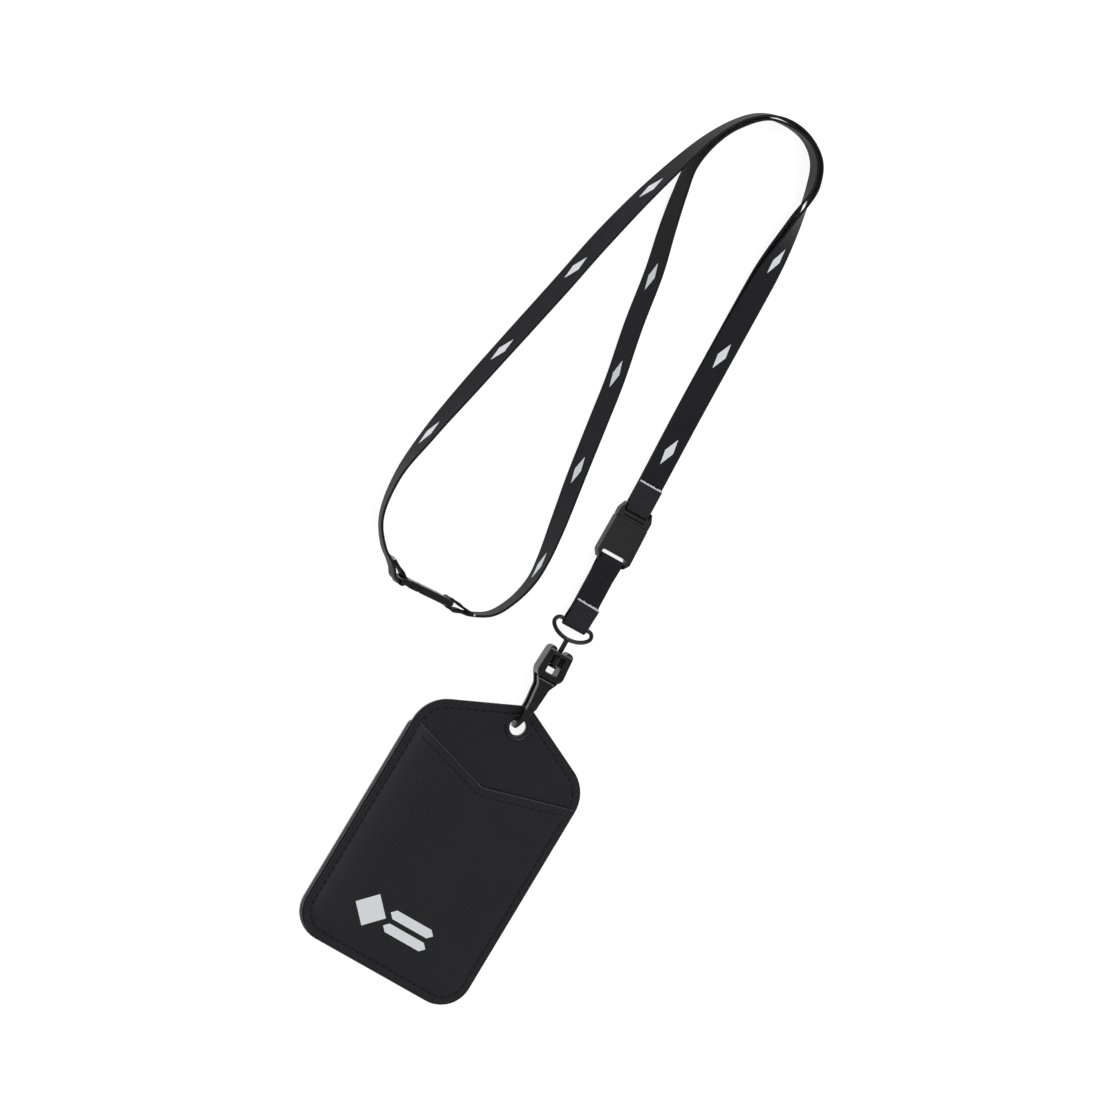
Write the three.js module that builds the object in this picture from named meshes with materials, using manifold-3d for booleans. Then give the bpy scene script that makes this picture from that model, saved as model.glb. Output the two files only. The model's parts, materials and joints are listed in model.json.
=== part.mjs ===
// A lanyard badge holder: a flat fabric card holder, a swivel hook through its eyelet,
// a short strap with a detachable buckle, and a neck strap with a breakaway clasp.
// Millimetres, +Z up. +Y runs along the holder towards the lanyard, +X to its right.
import * as THREE from 'three';
import Module from 'manifold-3d';
import { mergeVertices } from 'three/addons/utils/BufferGeometryUtils.js';

const wasm = await Module();
wasm.setup();

// ---------------------------------------------------------------- driving dimensions
const GAP = 0.3; // clearance between neighbouring pieces

// Card holder: outline
const HOLDER_WIDTH = 75.5;
const HOLDER_HEIGHT = 118;
const ROOF_HEIGHT = 17; // from where the straight sides would meet the sloping top
const BOTTOM_RADIUS = 12;
const SHOULDER_RADIUS = 15;
const APEX_RADIUS = 6;

// Card holder: layers, from the back to the front
const REAR_FABRIC = 0.7;
const WINDOW_FILM = 0.3;
const CARD_SPACE = 1.4; // room for a plastic card
const LINING = 0.4;
const CORE = 0.8;
const FACE_FABRIC = 0.4;
const POCKET_FABRIC = 0.6;
const POCKET_SPACE = 0.15;
const BORDER = 8; // width of the rear frame and of the gusset seam
const WINDOW_LAP = 5; // how far the window film reaches under the rear frame
const GUSSET_WIDTH = 4.5;

// Front pocket
const POCKET_MARGIN = 1.3; // the pocket stops short of the holder's edge by this much
const POCKET_SETBACK = 8.4; // from the shoulder down to where the V notch meets the sides
const NOTCH_DEPTH = 10.4;
const NOTCH_RADIUS = 5;

// Eyelet
const EYELET_FROM_TOP = 9.2;
const EYELET_BORE = 3.35; // radius
const EYELET_WALL = 0.45;
const EYELET_FLANGE = 4.8; // radius
const FLANGE_THICKNESS = 0.6;
const WASHER_THICKNESS = 0.4;

// Hook: v runs from the eyelet's centre along the chain
const CHAIN_LEAN = 2 * Math.PI / 180; // how far the chain leans to the left
const HOOK_NOSE = 3; // thickness of the limb in front of the holder
const NOSE_LIFT = 0.8; // clearance between that limb and the eyelet
const NOSE_WIDTH = 3.4;
const SHANK_WIDTH = 5;
const NOSE_BACK = 0.8; // how far the nose reaches past the eyelet's centre
const NOSE_RISER = 2.7;
const SEAM_PAST_TIP = 0.8; // the gate meets the nose this far past the holder's tip
const GATE_LENGTH = 11.4;
const YOKE_LENGTH = 13.1;
const YOKE_HALF_WIDTH = 5.7;
const YOKE_INSET = 0.6; // the yoke is thinner than the hook by this much on each face
const YOKE_BAR = 2.6;
const YOKE_BRIDGE = 1.4;
const YOKE_BRIDGE_SETBACK = 1.5;

// Swivel ring and its bush
const STEM_RADIUS = 1;
const WIRE_RADIUS = 0.85;
const BUSH_RADIUS = 2.3;
const BUSH_LENGTH = 3.6;
const STEM_HEAD_RADIUS = 1.7;
const STEM_HEAD_LENGTH = 1;
const RING_SIDE_ROOM = 4.1; // from the strap's edge to the ring's outer edge
const RING_STEM = 4.3; // from the yoke's arms to where the ring's two sides meet
const RING_HEIGHT = 6.5; // from there to the bar that carries the strap

// Webbing
const WEBBING_WIDTH = 10;
const WEBBING = 1; // thickness
const STRAP_DIP = 2 * Math.PI / 180; // the chain slopes down to the buckle

// Buckle
const LOWER_STRAP = 26.1; // from the ring's bar to the buckle
const BUCKLE_CHEEK = 1.55; // beside the strap slots
const BUCKLE_THICKNESS = 5;
const BUCKLE_WALL = 1;
const BUCKLE_SIDE_WALL = 1.5;
const SOCKET_LENGTH = 18.6;
const SOCKET_BAR = 2.4;
const SOCKET_BAR_THICKNESS = 1.2;
const SOCKET_SLOT_PLAY = 1.4; // height of the socket's slot beyond the webbing
const PLUG_SLOT_PLAY = 1;
const SLOT_SIDE_PLAY = 0.5; // on each side of the webbing
const PRONG_THICKNESS = 1.6;
const PRONG_LENGTH = 10.6;
const PRONG_SPACING = 4.4;
const BUTTON_LENGTH = 8;
const BUTTON_THICKNESS = 0.7;
const BOSS_HEIGHT = 1.9;
const PLUG_HEAD = 6.8;
const PLUG_BAR = 2;
const PLUG_THICKNESS = 4.4;
const TAIL = 8.65; // from the buckle to where the folded end of the neck strap is cut

// Breakaway clasp, standing on its edge
const CLASP_X = -61.3;
const CLASP_Y = 135.75;
const CLASP_TURN = 4.6 * Math.PI / 180;
const CLASP_PITCH = 21; // from one strap bar to the other
const CLASP_THICKNESS = 3;
const CLASP_LUG = 1; // height of each lug over or under the webbing
const CLASP_BAR_RADIUS = 0.8;
const CLASP_SEAM = -3.3; // from the clasp's centre
const TONGUE_LENGTH = 6;
const TONGUE_THICKNESS = 1.2;
const TONGUE_HEIGHT = 6.4;
const LAY_HEIGHT = 0.15; // the lowest that the straps and the clasp lie

// Neck strap routes: x, y, height of the lower edge, and the webbing's tilt in degrees,
// where 0 lies flat and -90 stands on edge
const OUTER_ROUTE = [
  [-5.3, 247.9, 1.5, 0],
  [-6.4, 275.6, 1.5, -3],
  [-7.4, 304.6, 1.4, -14],
  [-8.4, 328.9, 0.8, -56],
  [-9.8, 345.5, 0.2, -88],
  [-14.5, 354.8, 0.2, -90],
  [-24.2, 360.3, 0.2, -90],
  [-34.5, 360.9, 0.2, -90],
  [-43.4, 357.2, 0.2, -90],
  [-50.5, 349.8, 0.2, -90],
  [-55.8, 340.4, 0.2, -86],
  [-60, 329.3, 0.2, -78],
  [-66.3, 308.4, 0.2, -68],
  [-71.9, 285, 0.2, -62],
  [-76.5, 261.3, 0.2, -62],
  [-81.6, 236.3, 0.2, -63],
  [-86.5, 212, 0.2, -66],
  [-91, 187.4, 0.2, -76],
  [-93, 167.6, 0.2, -92],
  [-90.2, 151.2, 0.5, -97],
  [-83.6, 142.2, 0.9, -93],
];
const INNER_ROUTE = [
  [-5.6, 247.9, 0.2, 0],
  [-6.9, 275.8, 0.2, -3],
  [-8.6, 305.1, 0.2, -14],
  [-10.4, 329.5, 0.2, -56],
  [-11.6, 345, 0.2, -88],
  [-15.9, 353.6, 0.2, -90],
  [-24.6, 358.7, 0.2, -90],
  [-40, 357.4, 0.2, -90],
  [-49.1, 348.9, 0.2, -90],
  [-54.1, 339.2, 0.2, -88],
  [-56.6, 327, 0.2, -82],
  [-54.9, 315.3, 0.2, -75],
  [-51.8, 301.3, 0.2, -68],
  [-47.6, 285.3, 0.2, -63],
  [-43.6, 263.4, 0.2, -62],
  [-38.7, 241.6, 0.2, -62],
  [-35.6, 223.4, 0.2, -62],
  [-31.9, 201.4, 0.2, -64],
  [-28.6, 183.6, 0.2, -70],
  [-26.4, 169.3, 0.2, -80],
  [-26.1, 159.7, 0.3, -88],
  [-28.8, 149, 0.5, -92],
  [-33.8, 140.8, 0.8, -92],
];

// ---------------------------------------------------------------- derived heights
const windowTop = REAR_FABRIC + WINDOW_FILM;
const gussetTop = windowTop + CARD_SPACE;
const liningTop = gussetTop + LINING;
const coreTop = liningTop + CORE;
const panelTop = coreTop + FACE_FABRIC;
const pocketBottom = panelTop + POCKET_SPACE;
const pocketTop = pocketBottom + POCKET_FABRIC;

// Distances along the chain, from the eyelet's centre
const shoulderHeight = HOLDER_HEIGHT - ROOF_HEIGHT;
const eyeletHeight = HOLDER_HEIGHT - EYELET_FROM_TOP;
const hookLimb = gussetTop - WASHER_THICKNESS - GAP; // fits under the holder's tab
const hookDepth = panelTop + FLANGE_THICKNESS + NOSE_LIFT + HOOK_NOSE;
const hookAxisHeight = hookDepth / 2;
const noseReach = EYELET_FROM_TOP + SEAM_PAST_TIP;
const yokeStart = noseReach + GATE_LENGTH;
const ringBase = yokeStart + YOKE_LENGTH + RING_STEM;
const ringBar = ringBase + RING_HEIGHT;
const socketFrom = ringBar + LOWER_STRAP;
const plugStart = socketFrom + SOCKET_LENGTH + GAP / 2;
const plugEnd = plugStart + PLUG_HEAD;
const tailEnd = plugEnd + TAIL;

const slotLength = WEBBING_WIDTH + 2 * SLOT_SIDE_PLAY;
const buckleWidth = slotLength + 2 * BUCKLE_CHEEK;
const ringWidth = WEBBING_WIDTH + 2 * RING_SIDE_ROOM;
const claspBarToBody = CLASP_BAR_RADIUS + WEBBING + 2 * GAP + 0.2;
const claspHeight = WEBBING_WIDTH + 2 * (CLASP_LUG + GAP);

// ---------------------------------------------------------------- geometry helpers
function solid(geometry) {
  const bare = geometry.clone();
  bare.deleteAttribute('normal');
  bare.deleteAttribute('uv');
  const merged = mergeVertices(bare, 1e-4);
  return new wasm.Manifold(new wasm.Mesh({
    numProp: 3,
    vertProperties: new Float32Array(merged.attributes.position.array),
    triVerts: new Uint32Array(merged.index.array),
  }));
}

function toGeometry(manifold) {
  const mesh = manifold.getMesh();
  const geometry = new THREE.BufferGeometry();
  geometry.setAttribute('position', new THREE.BufferAttribute(mesh.vertProperties, 3));
  geometry.setIndex(new THREE.BufferAttribute(mesh.triVerts, 1));
  geometry.computeVertexNormals();
  return geometry;
}

function join(...geometries) {
  return toGeometry(geometries.map(solid).reduce((sum, next) => sum.add(next)));
}

function cut(geometry, ...tools) {
  return toGeometry(tools.map(solid).reduce((rest, tool) => rest.subtract(tool), solid(geometry)));
}

function common(a, b) {
  return toGeometry(solid(a).intersect(solid(b)));
}

// A block between two corners
function block(x0, x1, y0, y1, z0, z1) {
  const box = new THREE.BoxGeometry(x1 - x0, y1 - y0, z1 - z0);
  return box.translate((x0 + x1) / 2, (y0 + y1) / 2, (z0 + z1) / 2);
}

// A flat shape in x and y, between two heights
function plate(shape, z0, z1, curveSegments = 10) {
  const options = { depth: z1 - z0, bevelEnabled: false, curveSegments };
  return new THREE.ExtrudeGeometry(shape, options).translate(0, 0, z0);
}

// A shape in y and z, spread evenly to both sides of x = 0
function profile(shape, width, curveSegments = 8) {
  const options = { depth: width, bevelEnabled: false, curveSegments };
  const geometry = new THREE.ExtrudeGeometry(shape, options).translate(0, 0, -width / 2);
  const turn = new THREE.Matrix4().makeBasis(
    new THREE.Vector3(0, 1, 0), new THREE.Vector3(0, 0, 1), new THREE.Vector3(1, 0, 0));
  return geometry.applyMatrix4(turn);
}

// A polygon whose corners [x, y, radius] are rounded by arcs
function rounded(corners, Kind = THREE.Shape) {
  const shape = new Kind();
  corners.forEach(([x, y, radius], i) => {
    const here = new THREE.Vector2(x, y);
    const [ax, ay] = corners.at(i - 1);
    const [bx, by] = corners[(i + 1) % corners.length];
    const back = new THREE.Vector2(ax, ay).sub(here).normalize();
    const ahead = new THREE.Vector2(bx, by).sub(here).normalize();
    const half = Math.acos(back.dot(ahead)) / 2;
    if (radius <= 0) {
      if (i) shape.lineTo(x, y);
      else shape.moveTo(x, y);
      return;
    }
    const centre = back.clone().add(ahead).normalize()
      .multiplyScalar(radius / Math.sin(half)).add(here);
    const tangent = radius / Math.tan(half);
    const start = here.clone().addScaledVector(back, tangent).sub(centre);
    const end = here.clone().addScaledVector(ahead, tangent).sub(centre);
    const clockwise = back.cross(ahead) > 0;
    if (!i) shape.moveTo(centre.x + start.x, centre.y + start.y);
    shape.absarc(centre.x, centre.y, radius, start.angle(), end.angle(), clockwise);
  });
  shape.closePath();
  return shape;
}

function circle(radius, x = 0, y = 0, Kind = THREE.Path) {
  const path = new Kind();
  path.absarc(x, y, radius, 0, 2 * Math.PI, false);
  return path;
}

function rectangle(x0, x1, y0, y1, radius = 0, Kind = THREE.Shape) {
  return rounded([[x0, y0, radius], [x1, y0, radius], [x1, y1, radius], [x0, y1, radius]], Kind);
}

// Webbing swept through stations { point, side }: the side runs along the webbing's width
function ribbon(stations) {
  const positions = [];
  const indices = [];
  stations.forEach(({ point, side }, i) => {
    const before = stations[Math.max(i - 1, 0)].point;
    const after = stations[Math.min(i + 1, stations.length - 1)].point;
    const along = after.clone().sub(before).normalize();
    const across = side.clone().addScaledVector(along, -side.dot(along)).normalize();
    const up = across.clone().cross(along);
    for (const [s, n] of [[-1, -1], [1, -1], [1, 1], [-1, 1]]) {
      const corner = point.clone()
        .addScaledVector(across, s * WEBBING_WIDTH / 2)
        .addScaledVector(up, n * WEBBING / 2);
      positions.push(corner.x, corner.y, corner.z);
    }
  });
  for (let i = 0; i + 1 < stations.length; i++) {
    for (let k = 0; k < 4; k++) {
      const a = 4 * i + k;
      const b = 4 * i + (k + 1) % 4;
      indices.push(a, a + 4, b, b, a + 4, b + 4);
    }
  }
  const last = positions.length / 3 - 4;
  indices.push(0, 1, 2, 0, 2, 3, last, last + 2, last + 1, last, last + 3, last + 2);
  const geometry = new THREE.BufferGeometry();
  geometry.setAttribute('position', new THREE.Float32BufferAttribute(positions, 3));
  geometry.setIndex(indices);
  geometry.computeVertexNormals();
  return geometry;
}

// ---------------------------------------------------------------- materials
function finish(color, roughness, metalness = 0) {
  return new THREE.MeshStandardMaterial({ color, roughness, metalness });
}
const fabric = finish(0x2b2b2e, 0.9);
const core = finish(0x6b6b6b, 0.85);
const webbingCloth = finish(0x232327, 0.65);
const plastic = finish(0x17171a, 0.35);
const mattePlastic = finish(0x1e1e21, 0.5);
const coatedWire = finish(0x1c1c1f, 0.3, 0.6);
const film = finish(0xb8c0c6, 0.1);
const blackMetal = finish(0x242427, 0.35, 0.7);

function piece(parent, name, geometry, material) {
  const mesh = new THREE.Mesh(geometry, material);
  mesh.name = name;
  parent.add(mesh);
  return mesh;
}

// ---------------------------------------------------------------- card holder
const halfWidth = HOLDER_WIDTH / 2;
const roofSlope = (HOLDER_HEIGHT - shoulderHeight) / halfWidth;
// The shoulder's arc takes this much of the straight side
const shoulderArc = SHOULDER_RADIUS * Math.tan((Math.PI / 2 - Math.atan(roofSlope)) / 2);
const rearTop = shoulderHeight - shoulderArc;
const pocketSideHeight = shoulderHeight - POCKET_SETBACK;
const eyeletBarrel = EYELET_BORE + EYELET_WALL;

function tagOutline() {
  return [
    [-halfWidth, 0, BOTTOM_RADIUS],
    [halfWidth, 0, BOTTOM_RADIUS],
    [halfWidth, shoulderHeight, SHOULDER_RADIUS],
    [0, HOLDER_HEIGHT, APEX_RADIUS],
    [-halfWidth, shoulderHeight, SHOULDER_RADIUS],
  ];
}

// A layer of the whole tag, with the hole that the eyelet's barrel passes through
function tagLayer(z0, z1) {
  const shape = rounded(tagOutline());
  shape.holes.push(circle(eyeletBarrel + GAP / 2, 0, eyeletHeight));
  return plate(shape, z0, z1);
}

function rearFrame() {
  const shape = rounded([
    [-halfWidth, 0, BOTTOM_RADIUS],
    [halfWidth, 0, BOTTOM_RADIUS],
    [halfWidth, rearTop, 0],
    [-halfWidth, rearTop, 0],
  ]);
  const inner = halfWidth - BORDER;
  shape.holes.push(rectangle(-inner, inner, BORDER, rearTop - BORDER, 4, THREE.Path));
  return plate(shape, 0, REAR_FABRIC);
}

function rearWindow() {
  const reach = halfWidth - BORDER + WINDOW_LAP - GUSSET_WIDTH + 1;
  const low = BORDER - WINDOW_LAP + GUSSET_WIDTH - 1;
  const shape = rectangle(-reach, reach, low, rearTop - BORDER + WINDOW_LAP - 1, 2);
  return plate(shape, REAR_FABRIC, windowTop);
}

// A strip round three sides, open at the top where the card goes in
function sideGusset() {
  const inner = halfWidth - GUSSET_WIDTH;
  const innerRadius = BOTTOM_RADIUS - GUSSET_WIDTH;
  return plate(rounded([
    [-halfWidth, 0, BOTTOM_RADIUS],
    [halfWidth, 0, BOTTOM_RADIUS],
    [halfWidth, rearTop, 0],
    [inner, rearTop, 0],
    [inner, GUSSET_WIDTH, innerRadius],
    [-inner, GUSSET_WIDTH, innerRadius],
    [-inner, rearTop, 0],
    [-halfWidth, rearTop, 0],
  ]), REAR_FABRIC, gussetTop);
}

function frontPocket() {
  const side = halfWidth - POCKET_MARGIN;
  const radius = BOTTOM_RADIUS - POCKET_MARGIN;
  return plate(rounded([
    [-side, POCKET_MARGIN, radius],
    [side, POCKET_MARGIN, radius],
    [side, pocketSideHeight, 1],
    [0, pocketSideHeight - NOTCH_DEPTH, NOTCH_RADIUS],
    [-side, pocketSideHeight, 1],
  ]), pocketBottom, pocketTop);
}

// The seam thread's thickness is what holds the pocket off the panel along its edge
function pocketSeam() {
  const side = halfWidth - POCKET_MARGIN - 1;
  const inner = side - 2;
  const low = POCKET_MARGIN + 1;
  const radius = BOTTOM_RADIUS - low;
  const top = pocketSideHeight - 3;
  return plate(rounded([
    [-side, low, radius],
    [side, low, radius],
    [side, top, 0],
    [inner, top, 0],
    [inner, low + 2, radius - 2],
    [-inner, low + 2, radius - 2],
    [-inner, top, 0],
    [-side, top, 0],
  ]), panelTop, pocketBottom);
}

function lathe(points, segments = 32) {
  const profilePoints = points.map(([r, z]) => new THREE.Vector2(r, z));
  return new THREE.LatheGeometry([...profilePoints, profilePoints[0]], segments)
    .rotateX(Math.PI / 2);
}

function eyelet() {
  const top = panelTop + FLANGE_THICKNESS;
  const bottom = gussetTop - WASHER_THICKNESS;
  return lathe([
    [EYELET_BORE, bottom],
    [eyeletBarrel, bottom],
    [eyeletBarrel, panelTop],
    [EYELET_FLANGE, panelTop],
    [EYELET_FLANGE - 0.3, top],
    [EYELET_BORE + 0.3, top],
    [EYELET_BORE, top - 0.3],
  ]).translate(0, eyeletHeight, 0);
}

function eyeletWasher() {
  return lathe([
    [eyeletBarrel + GAP / 2, gussetTop - WASHER_THICKNESS],
    [EYELET_FLANGE, gussetTop - WASHER_THICKNESS],
    [EYELET_FLANGE, gussetTop],
    [eyeletBarrel + GAP / 2, gussetTop],
  ]).translate(0, eyeletHeight, 0);
}

const badgeHolder = new THREE.Group();
const holder = new THREE.Group();
badgeHolder.add(holder);
piece(holder, 'rear_frame', rearFrame(), fabric);
piece(holder, 'rear_window', rearWindow(), film);
piece(holder, 'side_gusset', sideGusset(), core);
piece(holder, 'back_lining', tagLayer(gussetTop, liningTop), fabric);
piece(holder, 'core_board', tagLayer(liningTop, coreTop), core);
piece(holder, 'main_panel', tagLayer(coreTop, panelTop), fabric);
piece(holder, 'pocket_seam', pocketSeam(), fabric);
piece(holder, 'front_pocket', frontPocket(), fabric);
piece(holder, 'eyelet', eyelet(), mattePlastic);
piece(holder, 'eyelet_washer', eyeletWasher(), mattePlastic);

// ---------------------------------------------------------------- the chain of fittings
// Origin at the eyelet's centre at the hook's mid height; y runs along the chain.
const chain = new THREE.Group();
chain.position.set(0, eyeletHeight, hookAxisHeight);
chain.rotation.z = CHAIN_LEAN;
badgeHolder.add(chain);

// ---------------------------------------------------------------- hook
const back = -hookAxisHeight;
const front = hookAxisHeight;
const yokeEnd = yokeStart + YOKE_LENGTH;
const windowEnd = yokeEnd - YOKE_BRIDGE_SETBACK - YOKE_BRIDGE;
const windowHalfWidth = BUSH_RADIUS + GAP;

// The hook from the side: back limb, nose through the eyelet, and the solid yoke
function hookSideView() {
  const yokeBack = back + YOKE_INSET;
  const yokeFront = front - YOKE_INSET;
  const gateRoot = yokeStart + 0.4;
  return rounded([
    [-NOSE_BACK, back, 2],
    [gateRoot, back, 1.5],
    [gateRoot + 1.6, yokeBack, 1],
    [yokeEnd, yokeBack, 2.4],
    [yokeEnd, yokeFront, 2.4],
    [gateRoot, yokeFront, 1],
    [gateRoot, back + hookLimb, 1],
    [NOSE_RISER - NOSE_BACK, back + hookLimb, 1],
    [NOSE_RISER - NOSE_BACK, front - HOOK_NOSE, 1],
    [noseReach, front - HOOK_NOSE, 0],
    [noseReach, front, 0],
    [-NOSE_BACK, front, 2.2],
  ]);
}

// The hook from above: a narrow nose, a shank that widens, and the yoke with its two arms
function hookPlan() {
  const nose = NOSE_WIDTH / 2;
  const shank = SHANK_WIDTH / 2;
  const notch = windowHalfWidth - 0.4;
  const half = [
    [nose, -NOSE_BACK - 1, 0],
    [nose, noseReach, 6],
    [shank, yokeStart - 3, 4],
    [YOKE_HALF_WIDTH, yokeStart + 2.2, 3],
    [YOKE_HALF_WIDTH - 0.7, yokeEnd, 1.6],
    [notch, yokeEnd, 1.2],
    [notch, yokeEnd - YOKE_BRIDGE_SETBACK, 0.3],
  ];
  const mirrored = half.map(([x, y, radius]) => [-x, y, radius]).reverse();
  return rounded([...half, ...mirrored]);
}

function hookBody() {
  const form = common(profile(hookSideView(), 2 * YOKE_HALF_WIDTH + 2), plate(hookPlan(), -6, 6));
  const window = plate(rectangle(
    -windowHalfWidth, windowHalfWidth, yokeStart + YOKE_BAR, windowEnd, 0.6), -6, 6);
  const stemHole = new THREE.CylinderGeometry(STEM_RADIUS + GAP, STEM_RADIUS + GAP, 8, 20);
  return cut(form, window, stemHole.translate(0, yokeEnd, 0));
}

// The gate springs about its rounded root and closes the hook against the nose
const gatePivot = yokeStart + 0.4 - GAP - HOOK_NOSE / 2;
function hookGate() {
  const top = front;
  const low = front - HOOK_NOSE;
  const side = new THREE.Shape();
  side.moveTo(noseReach + GAP, low);
  side.lineTo(gatePivot, low);
  side.absarc(gatePivot, (top + low) / 2, HOOK_NOSE / 2, -Math.PI / 2, Math.PI / 2, false);
  side.lineTo(noseReach + GAP, top);
  side.closePath();
  return common(profile(side, 12), plate(hookPlan(), -6, 6));
}

piece(chain, 'hook_body', hookBody(), plastic);
piece(chain, 'hook_gate', hookGate(), plastic);

// ---------------------------------------------------------------- swivel
function swivelBush() {
  const outer = new THREE.CylinderGeometry(BUSH_RADIUS, BUSH_RADIUS, BUSH_LENGTH, 24);
  const bore = new THREE.CylinderGeometry(
    STEM_RADIUS + GAP / 2, STEM_RADIUS + GAP / 2, BUSH_LENGTH + 2, 20);
  return cut(outer, bore).translate(0, windowEnd - GAP - BUSH_LENGTH / 2, 0);
}

// The ring's centre line: two sides that flare from the stem, and a straight bar
function ringCurve() {
  const half = ringWidth / 2 - WIRE_RADIUS;
  const corner = 3;
  const curve = new THREE.CurvePath();
  const p = (x, y) => new THREE.Vector3(x, y, 0);
  const bottom = ringBase;
  const top = ringBar;
  const rightSide = [p(0, bottom), p(half * 0.72, bottom + 0.2), p(half, top - 3.2), p(half, top - 2.3)];
  const rightLobe = [p(half, top - 2.3), p(half, top - 0.6), p(half - 1, top + 0.2), p(half - corner, top)];
  curve.add(new THREE.CubicBezierCurve3(...rightSide));
  curve.add(new THREE.CubicBezierCurve3(...rightLobe));
  curve.add(new THREE.LineCurve3(p(half - corner, top), p(corner - half, top)));
  const flip = (points) => points.map((q) => p(-q.x, q.y)).reverse();
  curve.add(new THREE.CubicBezierCurve3(...flip(rightLobe)));
  curve.add(new THREE.CubicBezierCurve3(...flip(rightSide)));
  return curve;
}

function swivelRing() {
  const ring = new THREE.TubeGeometry(ringCurve(), 72, WIRE_RADIUS, 12, true);
  const headTop = windowEnd - GAP - BUSH_LENGTH - GAP;
  const stemLength = ringBase - headTop + STEM_HEAD_LENGTH / 2;
  const stem = new THREE.CylinderGeometry(STEM_RADIUS, STEM_RADIUS, stemLength, 16);
  const head = new THREE.CylinderGeometry(STEM_HEAD_RADIUS, STEM_HEAD_RADIUS, STEM_HEAD_LENGTH, 20);
  return join(
    ring,
    stem.translate(0, ringBase - stemLength / 2, 0),
    head.translate(0, headTop - STEM_HEAD_LENGTH / 2, 0),
  );
}

piece(chain, 'swivel_bush', swivelBush(), mattePlastic);
piece(chain, 'swivel_ring', swivelRing(), coatedWire);

// ---------------------------------------------------------------- strap end and buckle
// Origin on the ring's bar; y still runs along the chain, sloping down to the buckle.
const strapEnd = new THREE.Group();
strapEnd.position.set(0, ringBar, 0);
strapEnd.rotation.x = -STRAP_DIP;
chain.add(strapEnd);
const along = (v) => v - ringBar;

// The short strap: a loop of webbing sewn together between the ring's bar and the socket's
function lowerStrap() {
  const ringEye = WIRE_RADIUS + GAP;
  const barMiddle = along(socketFrom + SOCKET_BAR / 2);
  const barEye = SOCKET_BAR_THICKNESS / 2 + GAP;
  const outerRing = ringEye + WEBBING;
  const outerBar = barEye + WEBBING;
  const barReach = SOCKET_BAR / 2 + GAP;
  const shape = new THREE.Shape();
  shape.absarc(0, 0, outerRing, Math.PI / 2, 1.5 * Math.PI, false);
  shape.bezierCurveTo(3, -outerRing, 5, -WEBBING - 0.05, 9, -WEBBING - 0.05);
  shape.lineTo(barMiddle - 6, -WEBBING - 0.05);
  shape.bezierCurveTo(barMiddle - 4, -WEBBING - 0.05, barMiddle - 3, -outerBar, barMiddle, -outerBar);
  shape.lineTo(barMiddle + barReach - 0.4, -outerBar);
  shape.bezierCurveTo(
    barMiddle + barReach + WEBBING, -outerBar,
    barMiddle + barReach + WEBBING, outerBar,
    barMiddle + barReach - 0.4, outerBar);
  shape.lineTo(barMiddle, outerBar);
  shape.bezierCurveTo(barMiddle - 3, outerBar, barMiddle - 4, WEBBING + 0.05, barMiddle - 6, WEBBING + 0.05);
  shape.lineTo(9, WEBBING + 0.05);
  shape.bezierCurveTo(5, WEBBING + 0.05, 3, outerRing, 0, outerRing);
  shape.closePath();
  shape.holes.push(circle(ringEye, 0, 0));
  shape.holes.push(rectangle(
    barMiddle - barReach, barMiddle + barReach, -barEye, barEye, 0.5, THREE.Path));
  return profile(shape, WEBBING_WIDTH, 6);
}

const halfBuckle = BUCKLE_THICKNESS / 2;
const cavityHalf = halfBuckle - BUCKLE_WALL;
const cavityHalfWidth = buckleWidth / 2 - BUCKLE_SIDE_WALL;
const socketStart = along(socketFrom);
const socketEnd = along(socketFrom + SOCKET_LENGTH);
const slotStart = socketStart + SOCKET_BAR;
const slotEnd = slotStart + WEBBING + SOCKET_SLOT_PLAY;
const buttonHalfWidth = PRONG_SPACING / 2 - GAP;
const buttonEnd = socketEnd - 2.4;
const buttonStart = buttonEnd - BUTTON_LENGTH;

function buckleSocket() {
  const half = buckleWidth / 2;
  const outline = rounded([
    [-half + 2.2, socketStart, 2.2],
    [half - 2.2, socketStart, 2.2],
    [half + 0.3, socketStart + 3.4, 2],
    [half, socketEnd, 0.5],
    [-half, socketEnd, 0.5],
    [-half - 0.3, socketStart + 3.4, 2],
  ]);
  outline.holes.push(rectangle(
    -slotLength / 2, slotLength / 2, slotStart, slotEnd, 0.8, THREE.Path));
  const barTop = SOCKET_BAR_THICKNESS / 2;
  const strapRoom = slotLength / 2;
  return cut(
    plate(outline, -halfBuckle, halfBuckle, 6),
    block(-cavityHalfWidth, cavityHalfWidth, slotEnd + 1.4, socketEnd + 1, -cavityHalf, cavityHalf),
    block(-buttonHalfWidth - GAP, buttonHalfWidth + GAP,
      buttonStart - GAP, buttonEnd + GAP, -halfBuckle - 1, 0),
    block(-strapRoom, strapRoom, socketStart - 1, slotStart + 0.5, barTop, halfBuckle + 1),
    block(-strapRoom, strapRoom, socketStart - 1, slotStart + 0.5, -halfBuckle - 1, -barTop),
  );
}

// The release button: a springy plate in the back wall, with a boss between the prongs
function buckleButton() {
  const low = -halfBuckle + 0.15;
  return join(
    block(-buttonHalfWidth, buttonHalfWidth, buttonStart, buttonEnd, low, low + BUTTON_THICKNESS),
    block(-buttonHalfWidth, buttonHalfWidth, buttonEnd - 3, buttonEnd - 0.6,
      low + BUTTON_THICKNESS - 0.1, low + BOSS_HEIGHT),
  );
}

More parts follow.
